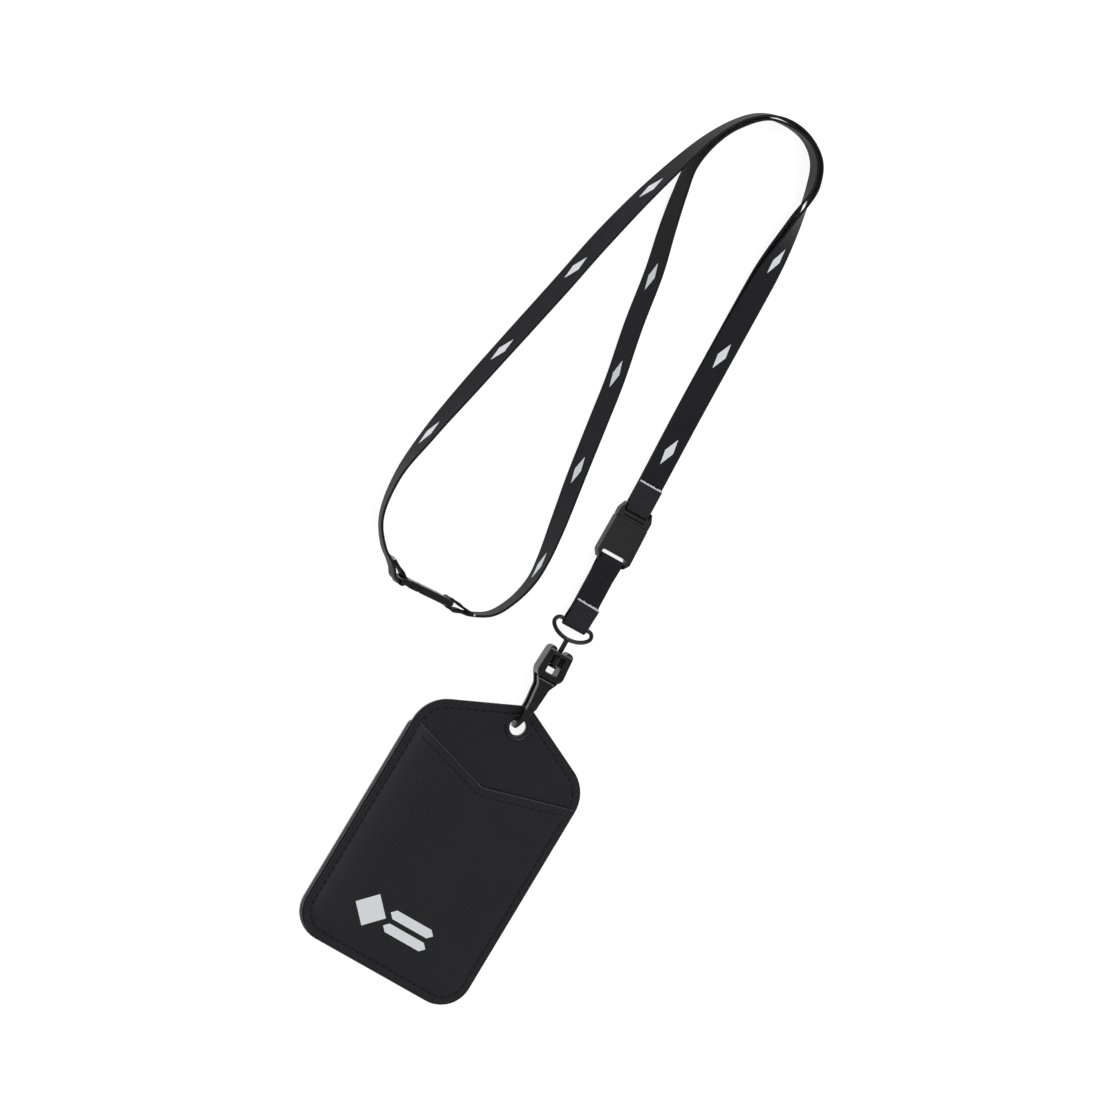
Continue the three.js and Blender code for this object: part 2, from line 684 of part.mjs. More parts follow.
function bucklePlug() {
  const half = buckleWidth / 2;
  const start = along(plugStart);
  const end = along(plugEnd);
  const slotTop = end - PLUG_BAR;
  const outline = rounded([
    [-half, start, 0.5],
    [half, start, 0.5],
    [half, start + 3, 1.5],
    [slotLength / 2 - 0.15, end, 1.6],
    [0.15 - slotLength / 2, end, 1.6],
    [-half, start + 3, 1.5],
  ]);
  outline.holes.push(rectangle(
    -slotLength / 2, slotLength / 2, slotTop - WEBBING - PLUG_SLOT_PLAY, slotTop, 0.9, THREE.Path));
  const barHalf = SOCKET_BAR_THICKNESS / 2;
  const strapRoom = slotLength / 2;
  const head = cut(
    plate(outline, -PLUG_THICKNESS / 2, PLUG_THICKNESS / 2, 6),
    block(-strapRoom, strapRoom, slotTop - 0.5, end + 1, barHalf, PLUG_THICKNESS),
    block(-strapRoom, strapRoom, slotTop - 0.5, end + 1, -PLUG_THICKNESS, -barHalf),
  );
  const inner = PRONG_SPACING / 2;
  const outer = cavityHalfWidth - GAP;
  const thick = PRONG_THICKNESS / 2;
  const prong = (x0, x1) => plate(
    rectangle(x0, x1, start - PRONG_LENGTH, start + 0.5, 0.4), -thick, thick, 3);
  return join(head, prong(inner, outer), prong(-outer, -inner));
}

piece(strapEnd, 'lower_strap', lowerStrap(), webbingCloth);
piece(strapEnd, 'buckle_socket', buckleSocket(), mattePlastic);
piece(strapEnd, 'buckle_button', buckleButton(), mattePlastic);
piece(strapEnd, 'buckle_plug', bucklePlug(), mattePlastic);

// ---------------------------------------------------------------- neck strap
badgeHolder.updateMatrixWorld(true);
const strapFrame = strapEnd.matrixWorld;
const strapSide = new THREE.Vector3(1, 0, 0).transformDirection(strapFrame);

// A station of the fold round the plug's bar, given along the chain and by height
function foldStation(v, height) {
  const point = new THREE.Vector3(0, along(v), height).applyMatrix4(strapFrame);
  return { point, side: strapSide.clone() };
}

// Stations from a hand-chosen route, smoothly joined to those before and after it
function routeStations(route, before, after, steps) {
  const points = [...before.map((s) => s.point)];
  const sides = [...before.map((s) => s.side)];
  const middle = route.map(([x, y, low, tilt]) => {
    const a = tilt * Math.PI / 180;
    const lift = WEBBING_WIDTH / 2 * Math.abs(Math.sin(a)) + WEBBING / 2 * Math.abs(Math.cos(a));
    return new THREE.Vector3(x, y, low + lift);
  });
  middle.forEach((point, i) => {
    const last = middle[i - 1] ?? before.at(-1).point;
    const next = middle[i + 1] ?? after[0].point;
    const flat = next.clone().sub(last).setZ(0).normalize();
    const across = new THREE.Vector3(flat.y, -flat.x, 0);
    const a = route[i][3] * Math.PI / 180;
    points.push(point);
    sides.push(across.multiplyScalar(Math.cos(a)).add(new THREE.Vector3(0, 0, Math.sin(a))));
  });
  points.push(...after.map((s) => s.point));
  sides.push(...after.map((s) => s.side));
  const path = new THREE.CatmullRomCurve3(points, false, 'centripetal');
  const sideways = new THREE.CatmullRomCurve3(sides, false, 'centripetal');
  const first = (before.length - 1) / (points.length - 1);
  const last = (points.length - after.length) / (points.length - 1);
  const stations = [];
  for (let i = 1; i < steps; i++) {
    const t = first + (last - first) * i / steps;
    stations.push({ point: path.getPoint(t), side: sideways.getPoint(t).normalize() });
  }
  return stations;
}

// The clasp's own frame: x runs from the left bar to the right one
const clasp = new THREE.Group();
clasp.position.set(CLASP_X, CLASP_Y, LAY_HEIGHT);
clasp.rotation.z = CLASP_TURN;
badgeHolder.add(clasp);
clasp.updateMatrixWorld(true);

// The end loop of a strap round a clasp bar: in along one side, round the bar, and back
function barLoop(barX, heading, turn, tail) {
  const bar = new THREE.Vector3(barX, 0, claspHeight / 2).applyMatrix4(clasp.matrixWorld);
  const ahead = new THREE.Vector3(Math.cos(heading), Math.sin(heading), 0);
  const left = new THREE.Vector3(-ahead.y, ahead.x, 0).multiplyScalar(turn);
  const radius = CLASP_BAR_RADIUS + GAP + WEBBING / 2;
  const at = (forward, sideways) => ({
    point: bar.clone().addScaledVector(ahead, forward).addScaledVector(left, sideways),
    side: new THREE.Vector3(0, 0, -1),
  });
  const stations = [at(-8, 0), at(-5.2, 0.6), at(-2.6, 1.75)];
  for (let i = 0; i <= 8; i++) {
    const angle = Math.PI * (0.6 - 1.2 * i / 8);
    stations.push(at(radius * Math.cos(angle), radius * Math.sin(angle)));
  }
  stations.push(at(-2.6, -1.75), at(-5.2, -1.35), at(-8, -1.35), at(-8 - tail, -1.35));
  return stations;
}

const barHalfHeight = SOCKET_BAR_THICKNESS / 2;
const foldRadius = barHalfHeight + GAP + WEBBING / 2;
const foldMiddle = plugEnd - PLUG_BAR + barHalfHeight - GAP / 2;

// The inner strap starts at its cut end, folds round the plug's bar and runs back beneath
function innerStart() {
  const stations = [];
  const tail = tailEnd - foldMiddle;
  for (let i = 0; i < 5; i++) stations.push(foldStation(tailEnd - tail * i / 5, foldRadius + 0.02));
  for (let i = 0; i <= 8; i++) {
    const angle = Math.PI * (0.5 + i / 8);
    const v = foldMiddle + foldRadius * Math.cos(angle);
    stations.push(foldStation(v, foldRadius * Math.sin(angle)));
  }
  stations.push(foldStation(foldMiddle + 3, -foldRadius), foldStation(tailEnd, -foldRadius + 0.05));
  return stations;
}

function outerStart() {
  const start = plugEnd + 1.2;
  return [foldStation(start, 0), foldStation((start + tailEnd) / 2, 0), foldStation(tailEnd, 0)];
}

const leftLoop = barLoop(-CLASP_PITCH / 2, -0.5, -1, 1);
const rightLoop = barLoop(CLASP_PITCH / 2, Math.PI - 0.05, 1, 2.5);
function strap(start, route, loop, steps) {
  return ribbon([...start, ...routeStations(route, start, loop, steps), ...loop]);
}
piece(badgeHolder, 'neck_strap_outer', strap(outerStart(), OUTER_ROUTE, leftLoop, 96), webbingCloth);
piece(badgeHolder, 'neck_strap_inner', strap(innerStart(), INNER_ROUTE, rightLoop, 96), webbingCloth);

// ---------------------------------------------------------------- breakaway clasp
const claspHalf = CLASP_THICKNESS / 2;
const claspReach = CLASP_PITCH / 2 - claspBarToBody;

// The end that carries a strap: a bar between two lugs
function strapBar(sign) {
  const barX = sign * CLASP_PITCH / 2;
  const bodyX = sign * (claspReach - 0.4);
  const ends = [Math.min(barX, bodyX), Math.max(barX, bodyX)];
  const lug = (z) => plate(
    rectangle(ends[0] - 0.6, ends[1] + 0.6, -claspHalf + 0.3, claspHalf - 0.3, 0.6), z, z + CLASP_LUG, 4);
  const bar = new THREE.CylinderGeometry(CLASP_BAR_RADIUS, CLASP_BAR_RADIUS, claspHeight - CLASP_LUG, 16)
    .rotateX(Math.PI / 2)
    .translate(barX, 0, claspHeight / 2);
  return join(lug(0), lug(claspHeight - CLASP_LUG), bar);
}

function claspPlug() {
  const middle = claspHeight / 2;
  const body = plate(
    rectangle(-claspReach, CLASP_SEAM - GAP / 2, -claspHalf, claspHalf, 0.5), 0, claspHeight, 4);
  const tongue = block(
    CLASP_SEAM - 1, CLASP_SEAM + TONGUE_LENGTH, -TONGUE_THICKNESS / 2, TONGUE_THICKNESS / 2,
    middle - TONGUE_HEIGHT / 2, middle + TONGUE_HEIGHT / 2);
  return join(body, tongue, strapBar(-1));
}

function claspSocket() {
  const middle = claspHeight / 2;
  const body = plate(
    rectangle(CLASP_SEAM + GAP / 2, claspReach, -claspHalf, claspHalf, 0.5), 0, claspHeight, 4);
  const roomY = TONGUE_THICKNESS / 2 + GAP;
  const roomZ = TONGUE_HEIGHT / 2 + GAP;
  const room = block(
    CLASP_SEAM - 1, CLASP_SEAM + TONGUE_LENGTH + GAP, -roomY, roomY, middle - roomZ, middle + roomZ);
  return cut(join(body, strapBar(1)), room);
}

piece(clasp, 'clasp_plug', claspPlug(), plastic);
piece(clasp, 'clasp_socket', claspSocket(), plastic);

// The frame's origin lies under the middle of everything but the free neck strap
const fittingsEnd = eyeletHeight + plugEnd * Math.cos(CHAIN_LEAN);
badgeHolder.position.y = -fittingsEnd / 2;

export default badgeHolder;
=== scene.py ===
"""The looks of a lanyard badge holder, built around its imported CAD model.

Places are in metres in the model's frame. Each group of pieces is drawn in millimetres in a
frame of its own (HOLDER, CHAIN, STRAP or CLASP), whose matrix takes it to the model's frame.
"""

import bisect
import json
import math
import random

import bmesh
import bpy
from mathutils import Matrix, Vector, noise


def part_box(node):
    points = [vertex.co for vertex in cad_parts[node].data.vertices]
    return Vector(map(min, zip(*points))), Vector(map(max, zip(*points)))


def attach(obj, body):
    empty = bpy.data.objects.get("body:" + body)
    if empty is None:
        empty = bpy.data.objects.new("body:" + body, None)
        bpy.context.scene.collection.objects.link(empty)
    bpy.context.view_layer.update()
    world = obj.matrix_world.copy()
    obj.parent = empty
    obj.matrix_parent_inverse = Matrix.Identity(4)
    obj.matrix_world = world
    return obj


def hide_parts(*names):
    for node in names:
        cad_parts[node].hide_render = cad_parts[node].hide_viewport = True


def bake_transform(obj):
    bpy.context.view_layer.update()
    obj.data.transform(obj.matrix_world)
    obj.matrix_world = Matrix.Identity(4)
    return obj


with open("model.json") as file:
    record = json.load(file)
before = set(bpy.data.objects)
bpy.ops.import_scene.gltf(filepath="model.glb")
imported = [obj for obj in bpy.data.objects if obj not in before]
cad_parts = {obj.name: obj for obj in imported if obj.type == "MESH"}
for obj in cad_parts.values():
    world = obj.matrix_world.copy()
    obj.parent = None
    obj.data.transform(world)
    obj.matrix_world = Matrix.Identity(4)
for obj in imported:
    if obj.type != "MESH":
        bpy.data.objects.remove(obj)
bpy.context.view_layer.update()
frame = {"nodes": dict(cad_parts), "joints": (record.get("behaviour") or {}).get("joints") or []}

MM = 0.001
JOINTS = {joint["name"]: joint for joint in frame["joints"]}

# ------------------------------------------------------------------ sizes, in millimetres
GAP = 0.3
WEBBING_WIDTH = 10
WEBBING = 1
PLUG_BAR = 2
BAR_THICKNESS = 1.2
NECK_TAIL = 8.65
CLASP_PITCH = 21
CLASP_BAR_RADIUS = 0.8

BOTTOM_RADIUS = 12
SHOULDER_RADIUS = 15
APEX_RADIUS = 6
ROOF_HEIGHT = 17
EYELET_FROM_TOP = 9.2
EYELET_BORE = 3.35  # radius
PANEL_HOLE = 3.95  # radius, in the layers that the eyelet passes through
NOTCH_DEPTH = 10.4  # of the pocket's mouth
HEM = 3.3  # from the pocket's mouth down to its hem stitches
STITCH_INSET = 3.2  # from the holder's edge
POCKET_MARGIN = 0.4  # from the holder's edge to the pocket's
STITCH_PITCH = 3
THREAD = 0.5
REAR_BORDER = 8  # of cloth, round the rear window
GUSSET_WIDTH = 4.5
TOP_CORNER = 2.5  # radius, of the back and the gusset at the open end
GUSSET_BULGE = 0.4  # beyond the cloth, as a pressed foam edge stands
NOSE_GROWTH = 0.22  # of the hook's nose's width, which still turns freely in the eyelet

# The neck straps' printed marks: distance to the first one's middle, and from one to the next
OUTER_MARKS = (22.6, 42)
INNER_MARKS = (274.5, 39.5)

# Centre of the clasp, from the middle of the holder's bottom edge
CLASP_CENTRE = (-0.0613, 0.13575)

# Routes of the two neck straps: x, y, height of the lower edge, and tilt in degrees, where
# 0 lies flat and -90 stands on edge. x and y are from the middle of the holder's bottom edge.
OUTER_ROUTE = [
    (-0.0053, 0.2479, 0.0015, 0),
    (-0.0064, 0.2756, 0.0015, -3),
    (-0.0074, 0.3046, 0.0014, -14),
    (-0.0084, 0.3289, 0.0008, -56),
    (-0.0098, 0.3455, 0.0002, -88),
    (-0.0145, 0.3548, 0.0002, -90),
    (-0.0242, 0.3603, 0.0002, -90),
    (-0.0345, 0.3609, 0.0002, -90),
    (-0.0434, 0.3572, 0.0002, -90),
    (-0.0505, 0.3498, 0.0002, -90),
    (-0.0558, 0.3404, 0.0002, -86),
    (-0.0600, 0.3293, 0.0002, -78),
    (-0.0663, 0.3084, 0.0002, -68),
    (-0.0719, 0.2850, 0.0002, -62),
    (-0.0765, 0.2613, 0.0002, -62),
    (-0.0816, 0.2363, 0.0002, -63),
    (-0.0865, 0.2120, 0.0002, -66),
    (-0.0910, 0.1874, 0.0002, -76),
    (-0.0930, 0.1676, 0.0002, -92),
    (-0.0902, 0.1512, 0.0005, -97),
    (-0.0836, 0.1422, 0.0009, -93),
]
INNER_ROUTE = [
    (-0.0056, 0.2479, 0.0002, 0),
    (-0.0069, 0.2758, 0.0002, -3),
    (-0.0086, 0.3051, 0.0002, -14),
    (-0.0104, 0.3295, 0.0002, -56),
    (-0.0116, 0.3450, 0.0002, -88),
    (-0.0157, 0.3538, 0.0002, -90),
    (-0.0245, 0.3590, 0.0002, -90),
    (-0.0400, 0.3577, 0.0002, -90),
    (-0.0491, 0.3489, 0.0002, -90),
    (-0.0541, 0.3392, 0.0002, -88),
    (-0.0566, 0.3270, 0.0002, -82),
    (-0.0549, 0.3153, 0.0002, -75),
    (-0.0518, 0.3013, 0.0002, -68),
    (-0.0476, 0.2853, 0.0002, -63),
    (-0.0436, 0.2634, 0.0002, -62),
    (-0.0387, 0.2416, 0.0002, -62),
    (-0.0356, 0.2234, 0.0002, -62),
    (-0.0319, 0.2014, 0.0002, -64),
    (-0.0286, 0.1836, 0.0002, -70),
    (-0.0264, 0.1693, 0.0002, -80),
    (-0.0261, 0.1597, 0.0003, -88),
    (-0.0288, 0.1490, 0.0005, -92),
    (-0.0338, 0.1408, 0.0008, -92),
]


# ------------------------------------------------------------------ frames
def axes(origin, x, y):
    """The matrix from a frame's millimetres to the model's metres."""
    x = Vector(x).normalized()
    y = Vector(y)
    y = (y - y.dot(x) * x).normalized()
    matrix = Matrix((x, y, x.cross(y))).transposed().to_4x4()
    matrix.translation = Vector(origin)
    return matrix @ Matrix.Scale(MM, 4)


def extent(node, place):
    """A CAD node's lowest and highest corner in a frame, in its millimetres."""
    back = place.inverted()
    points = [back @ v.co for v in frame["nodes"][node].data.vertices]
    low = Vector([min(p[i] for p in points) for i in range(3)])
    high = Vector([max(p[i] for p in points) for i in range(3)])
    return low, high


HOLDER_BASE = Vector((0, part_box("main_panel")[0].y, 0))
HOLDER = axes(HOLDER_BASE, (1, 0, 0), (0, 1, 0))
HALF_WIDTH = extent("main_panel", HOLDER)[1].x
EYELET_Y = (JOINTS["hook_swing"]["pos_m"][1] - HOLDER_BASE.y) / MM
HOLDER_HEIGHT = EYELET_Y + EYELET_FROM_TOP  # to the top's corner, before its rounding
SHOULDER = HOLDER_HEIGHT - ROOF_HEIGHT
CHAIN = axes(JOINTS["hook_swing"]["pos_m"], JOINTS["gate_press"]["axis"], JOINTS["swivel_turn"]["axis"])
STRAP = axes(JOINTS["strap_fold"]["pos_m"], JOINTS["strap_fold"]["axis"], JOINTS["buckle_release"]["axis"])
CLASP_AXIS = -Vector(JOINTS["clasp_release"]["axis"])
CLASP = axes(
    HOLDER_BASE + Vector((*CLASP_CENTRE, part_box("clasp_plug")[0].z)),
    CLASP_AXIS, Vector((0, 0, 1)).cross(CLASP_AXIS))


# ------------------------------------------------------------------ camera, floor and light
CAMERA_TILT = math.radians(17.5)  # from straight above, towards the holder's left
CAMERA_ROLL = math.radians(31)
CAMERA_DISTANCE = 2.0
CAMERA_TARGET = Vector((-0.0174, 0.0694, -0.0049))
CAMERA_LENS = 167


def make_camera():
    data = bpy.data.cameras.new("camera")
    data.sensor_width = 36
    data.lens = CAMERA_LENS
    data.clip_start = 0.05
    data.clip_end = 50
    camera = bpy.data.objects.new("camera", data)
    bpy.context.scene.collection.objects.link(camera)
    back = Vector((-math.sin(CAMERA_TILT), 0, math.cos(CAMERA_TILT)))
    level = Vector((math.cos(CAMERA_TILT), 0, math.sin(CAMERA_TILT)))
    ahead = Vector((0, 1, 0))
    right = math.cos(CAMERA_ROLL) * level + math.sin(CAMERA_ROLL) * ahead
    up = math.cos(CAMERA_ROLL) * ahead - math.sin(CAMERA_ROLL) * level
    matrix = Matrix((right, up, back)).transposed().to_4x4()
    matrix.translation = CAMERA_TARGET + back * CAMERA_DISTANCE
    camera.matrix_world = matrix
    bpy.context.scene.camera = camera


def soft_light(name, place, target, size, power):
    data = bpy.data.lights.new(name, "AREA")
    data.shape = "DISK"
    data.size = size
    data.energy = power
    light = bpy.data.objects.new(name, data)
    bpy.context.scene.collection.objects.link(light)
    light.location = place
    light.rotation_euler = (Vector(target) - Vector(place)).to_track_quat("-Z", "Y").to_euler()
    light.visible_camera = False


def make_studio():
    world = bpy.data.worlds.new("studio")
    bpy.context.scene.world = world
    world.use_nodes = True
    backdrop = world.node_tree.nodes["Background"]
    backdrop.inputs["Color"].default_value = (1, 1, 1, 1)
    backdrop.inputs["Strength"].default_value = 0.22
    middle = (-0.02, 0.07, 0)
    soft_light("left_light", (-1.5, 0.35, 0.9), middle, 1.0, 8)
    soft_light("right_light", (1.0, -0.7, 1.1), middle, 0.9, 9)
    soft_light("top_light", (0.3, 1.35, 1.25), middle, 0.9, 13)
    bpy.context.scene.view_settings.view_transform = "Standard"

    shape = bmesh.new()
    bmesh.ops.create_circle(shape, cap_ends=True, segments=96, radius=4)
    mesh = bpy.data.meshes.new("floor")
    shape.to_mesh(mesh)
    shape.free()
    floor = bpy.data.objects.new("floor", mesh)
    bpy.context.scene.collection.objects.link(floor)
    paper = Finish("floor_paper", (0.4, 0.4, 0.4), 0.9, Emission_Color=(1, 1, 1, 1), Emission_Strength=0.86)
    grain = paper.noise(paper.coordinates(1), 60, 4)
    paper.bump(grain, 0.05, 0.0004)
    mesh.materials.append(paper.material)


# ------------------------------------------------------------------ materials
class Finish:
    """A procedural material: a Principled shader and the nodes that vary it."""

    def __init__(self, name, colour, roughness, **constants):
        self.material = bpy.data.materials.new(name)
        self.material.use_nodes = True
        self.tree = self.material.node_tree
        self.shader = self.tree.nodes["Principled BSDF"]
        self.colour = colour
        self.shader.inputs["Base Color"].default_value = (*colour, 1)
        self.shader.inputs["Roughness"].default_value = roughness
        for socket, value in constants.items():
            self.shader.inputs[socket.replace("_", " ")].default_value = value

    def add(self, kind, **properties):
        node = self.tree.nodes.new(kind)
        for name, value in properties.items():
            setattr(node, name, value)
        return node

    def link(self, source, target):
        self.tree.links.new(source, target)

    def coordinates(self, scale=1000, turn=0.0):
        """Positions in the model's frame, times scale (1000 gives millimetres)."""
        where = self.add("ShaderNodeTexCoord")
        return self.mapped(where.outputs["Object"], scale, turn)

    def mapped(self, vector, scale=1.0, turn=0.0):
        mapping = self.add("ShaderNodeMapping")
        self.link(vector, mapping.inputs["Vector"])
        mapping.inputs["Scale"].default_value = (scale, scale, scale)
        mapping.inputs["Rotation"].default_value = (0, 0, turn)
        return mapping.outputs["Vector"]

    def woven_place(self, turn=0.0):
        """Across and along the webbing, in millimetres."""
        stored = self.add("ShaderNodeAttribute", attribute_name="weave")
        return self.mapped(stored.outputs["Vector"], 1, turn)

    def wave(self, vector, direction, period, distortion=0.0):
        """Bands of light and dark, one period apart, in the vector's unit."""
        node = self.add("ShaderNodeTexWave", wave_type="BANDS", bands_direction=direction)
        self.link(vector, node.inputs["Vector"])
        node.inputs["Scale"].default_value = math.pi / 10 / period
        node.inputs["Distortion"].default_value = distortion
        node.inputs["Detail"].default_value = 1.5
        node.inputs["Detail Scale"].default_value = 1.2
        return node.outputs["Fac"]

    def noise(self, vector, scale, detail=3.0):
        node = self.add("ShaderNodeTexNoise")
        self.link(vector, node.inputs["Vector"])
        node.inputs["Scale"].default_value = scale
        node.inputs["Detail"].default_value = detail
        return node.outputs["Fac"]

    def math(self, operation, a, b):
        node = self.add("ShaderNodeMath", operation=operation)
        for socket, value in zip(node.inputs, (a, b)):
            if isinstance(value, (int, float)):
                socket.default_value = value
            else:
                self.link(value, socket)
        return node.outputs[0]

    def ranged(self, factor, low, high):
        node = self.add("ShaderNodeMapRange")
        self.link(factor, node.inputs["Value"])
        node.inputs["To Min"].default_value = low
        node.inputs["To Max"].default_value = high
        return node.outputs["Result"]

    def shade(self, factor, low, high):
        """The base colour times low where the factor is 0, and times high where it is 1."""
        ramp = self.add("ShaderNodeValToRGB")
        for element, amount in zip(ramp.color_ramp.elements, (low, high)):
            element.color = (*[min(1, c * amount) for c in self.colour], 1)
        self.link(factor, ramp.inputs["Fac"])
        self.link(ramp.outputs["Color"], self.shader.inputs["Base Color"])

    def rough(self, factor, low, high):
        self.link(self.ranged(factor, low, high), self.shader.inputs["Roughness"])

    def bump(self, height, strength, distance):
        node = self.add("ShaderNodeBump")
        node.inputs["Strength"].default_value = strength
        node.inputs["Distance"].default_value = distance
        self.link(height, node.inputs["Height"])
        self.link(node.outputs["Normal"], self.shader.inputs["Normal"])


def left_slope_highlight(cloth):
    """A painted highlight mask: 1 just inside the holder's left seam, where the cloth rises towards the
    left light, fading to 0 towards its middle and its bottom.
    """
    parts = cloth.add("ShaderNodeSeparateXYZ")
    cloth.link(cloth.coordinates(), parts.inputs["Vector"])
    across = cloth.add("ShaderNodeMapRange")
    cloth.link(parts.outputs["X"], across.inputs["Value"])
    across.inputs["From Min"].default_value = -HALF_WIDTH
    across.inputs["From Max"].default_value = -HALF_WIDTH + 20
    ramp = cloth.add("ShaderNodeValToRGB")
    cloth.link(across.outputs["Result"], ramp.inputs["Fac"])
    levels = [(0.155, 0), (0.175, 1), (0.3, 0.55), (0.5, 0.2), (0.9, 0)]
    while len(ramp.color_ramp.elements) < len(levels):
        ramp.color_ramp.elements.new(0.5)
    for element, (position, level) in zip(ramp.color_ramp.elements, levels):
        element.position = position
        element.color = (level, level, level, 1)
    upward = cloth.add("ShaderNodeMapRange")
    cloth.link(parts.outputs["Y"], upward.inputs["Value"])
    upward.inputs["From Min"].default_value = HOLDER_BASE.y / MM + 4
    upward.inputs["From Max"].default_value = HOLDER_BASE.y / MM + 14
    return cloth.math("MULTIPLY", ramp.outputs["Color"], upward.outputs["Result"])


def twill(name, colour, pitch=1.25, depth=1.0, left_highlight=0.0):
    """Canvas-like cloth: rows of small knots, with a faint diagonal through them. A painted highlight
    makes it paler just inside the left seam, where the cloth rises towards the left light."""
    cloth = Finish(name, colour, 0.85, Sheen_Weight=0.04, Sheen_Roughness=0.5, Specular_IOR_Level=0.2)
    straight = cloth.coordinates()
    slanted = cloth.coordinates(1000, math.radians(40))
    warp = cloth.wave(straight, "X", pitch, 0.7)
    weft = cloth.wave(straight, "Y", pitch * 0.85, 0.7)
    rib = cloth.wave(slanted, "X", pitch * 0.8, 0.8)
    knots = cloth.math("MULTIPLY", warp, weft)
    weave = cloth.math("ADD", cloth.math("MULTIPLY", knots, 0.75), cloth.math("MULTIPLY", rib, 0.25))
    slub = cloth.noise(straight, 1.3, 5)
    patches = cloth.noise(straight, 0.06, 3)
    tone = cloth.math("ADD", cloth.math("MULTIPLY", weave, 0.6), cloth.math("MULTIPLY", slub, 0.25))
    tone = cloth.math("ADD", tone, cloth.math("MULTIPLY", patches, 0.15))
    # Painted highlight: paler just inside the left seam, as if lit from the left
    if left_highlight:
        tone = cloth.math("ADD", tone, cloth.math("MULTIPLY", left_slope_highlight(cloth), left_highlight))
    cloth.shade(tone, 0.35, 2.1)
    cloth.rough(slub, 0.78, 0.95)
    cloth.bump(cloth.math("ADD", weave, cloth.math("MULTIPLY", slub, 0.8)), 0.9 * depth, 0.00018)
    return cloth.material


def plain_cloth(name, colour, roughness=0.9):
    """A fine plain weave, without a visible rib."""
    cloth = Finish(name, colour, roughness, Sheen_Weight=0.1, Specular_IOR_Level=0.2)
    place = cloth.coordinates()
    warp = cloth.wave(place, "X", 0.35, 0.5)
    weft = cloth.wave(place, "Y", 0.35, 0.5)
    weave = cloth.math("MULTIPLY", warp, weft)
    cloth.shade(cloth.math("ADD", weave, cloth.noise(place, 0.5, 4)), 0.7, 1.2)
    cloth.bump(weave, 0.4, 0.0001)
    return cloth.material


def webbing(name, colour, rib=0.55, depth=1.0, contrast=1.0):
    """Satin webbing: a fine slanted rib over tight cross threads."""
    cloth = Finish(name, colour, 0.6, Sheen_Weight=0.02, Sheen_Roughness=0.4, Specular_IOR_Level=0.16)
    flat = cloth.woven_place()
    slanted = cloth.woven_place(math.radians(52))
    twist = cloth.wave(slanted, "X", rib, 0.7)
    picks = cloth.wave(flat, "Y", rib * 0.6, 0.5)
    weave = cloth.math("ADD", cloth.math("MULTIPLY", twist, 0.65), cloth.math("MULTIPLY", picks, 0.35))
    fuzz = cloth.noise(flat, 2.2, 5)
    patches = cloth.noise(flat, 0.12, 2)
    ribbed = 0.45 / contrast
    soft = cloth.math("MULTIPLY", fuzz, 0.75 - ribbed)
    tone = cloth.math("ADD", cloth.math("MULTIPLY", weave, ribbed), soft)
    tone = cloth.math("ADD", tone, cloth.math("MULTIPLY", patches, 0.25))
    cloth.shade(tone, 1 - 0.4 * contrast, 1 + 0.45 * contrast)
    cloth.rough(fuzz, 0.5, 0.72)
    cloth.bump(cloth.math("ADD", weave, cloth.math("MULTIPLY", fuzz, 0.4)), 0.5 * depth, 0.00012)
    return cloth.material


def moulded_plastic(name, colour, roughness, grain=0.3, coat=0.0):
    """Injection-moulded plastic: a faint orange peel, and handling wear in its gloss."""
    gloss = {"Coat_Weight": coat, "Coat_Roughness": 0.12, "Specular_IOR_Level": 0.36}
    plastic = Finish(name, colour, roughness, **gloss)
    place = plastic.coordinates()
    peel = plastic.noise(place, 1.6, 4)
    wear = plastic.noise(place, 0.25, 5)
    plastic.shade(wear, 0.75, 1.3)
    plastic.rough(wear, roughness * 0.8, roughness * 1.25)
    plastic.bump(peel, grain, 0.00006)
    return plastic.material


def coated_wire(name, colour):
    wire = Finish(name, colour, 0.36, Metallic=0.35)
    place = wire.coordinates()
    wire.shade(wire.noise(place, 0.5, 4), 0.7, 1.35)
    wire.rough(wire.noise(place, 1.1, 4), 0.3, 0.46)
    wire.bump(wire.noise(place, 3.5, 3), 0.15, 0.00004)
    return wire.material


def foam(name, colour):
    """The cut edge of a foam board: fine cells in faint layers."""
    core = Finish(name, colour, 0.85, Specular_IOR_Level=0.3)
    place = core.coordinates()
    cells = core.noise(place, 4.5, 5)
    layers = core.wave(place, "Z", 0.8, 1.2)
    tone = core.math("ADD", core.math("MULTIPLY", cells, 0.7), core.math("MULTIPLY", layers, 0.3))
    core.shade(tone, 0.65, 1.3)
    core.bump(cells, 0.35, 0.0001)
    return core.material


def clear_film(name, colour):
    film = Finish(name, colour, 0.12, Alpha=0.32, Coat_Weight=0.4)
    place = film.coordinates()
    film.rough(film.noise(place, 0.08, 5), 0.08, 0.3)
    film.bump(film.noise(place, 0.05, 3), 0.25, 0.0006)
    return film.material


def print_ink(name, colour):
    """Opaque pale ink over cloth, with the weave showing through it."""
    ink = Finish(name, colour, 0.6, Specular_IOR_Level=0.35)
    place = ink.coordinates()
    speckle = ink.noise(place, 3.2, 5)
    ink.shade(speckle, 0.9, 1.06)
    ink.bump(ink.math("ADD", ink.wave(place, "X", 0.45, 0.6), speckle), 0.22, 0.00008)
    return ink.material


def sewing_thread(name, colour):
    thread = Finish(name, colour, 0.7, Specular_IOR_Level=0.15)
    place = thread.coordinates(1000, math.radians(35))
    twist = thread.wave(place, "X", 0.16, 0.5)
    thread.shade(twist, 0.6, 1.5)
    thread.bump(twist, 0.6, 0.00005)
    return thread.material


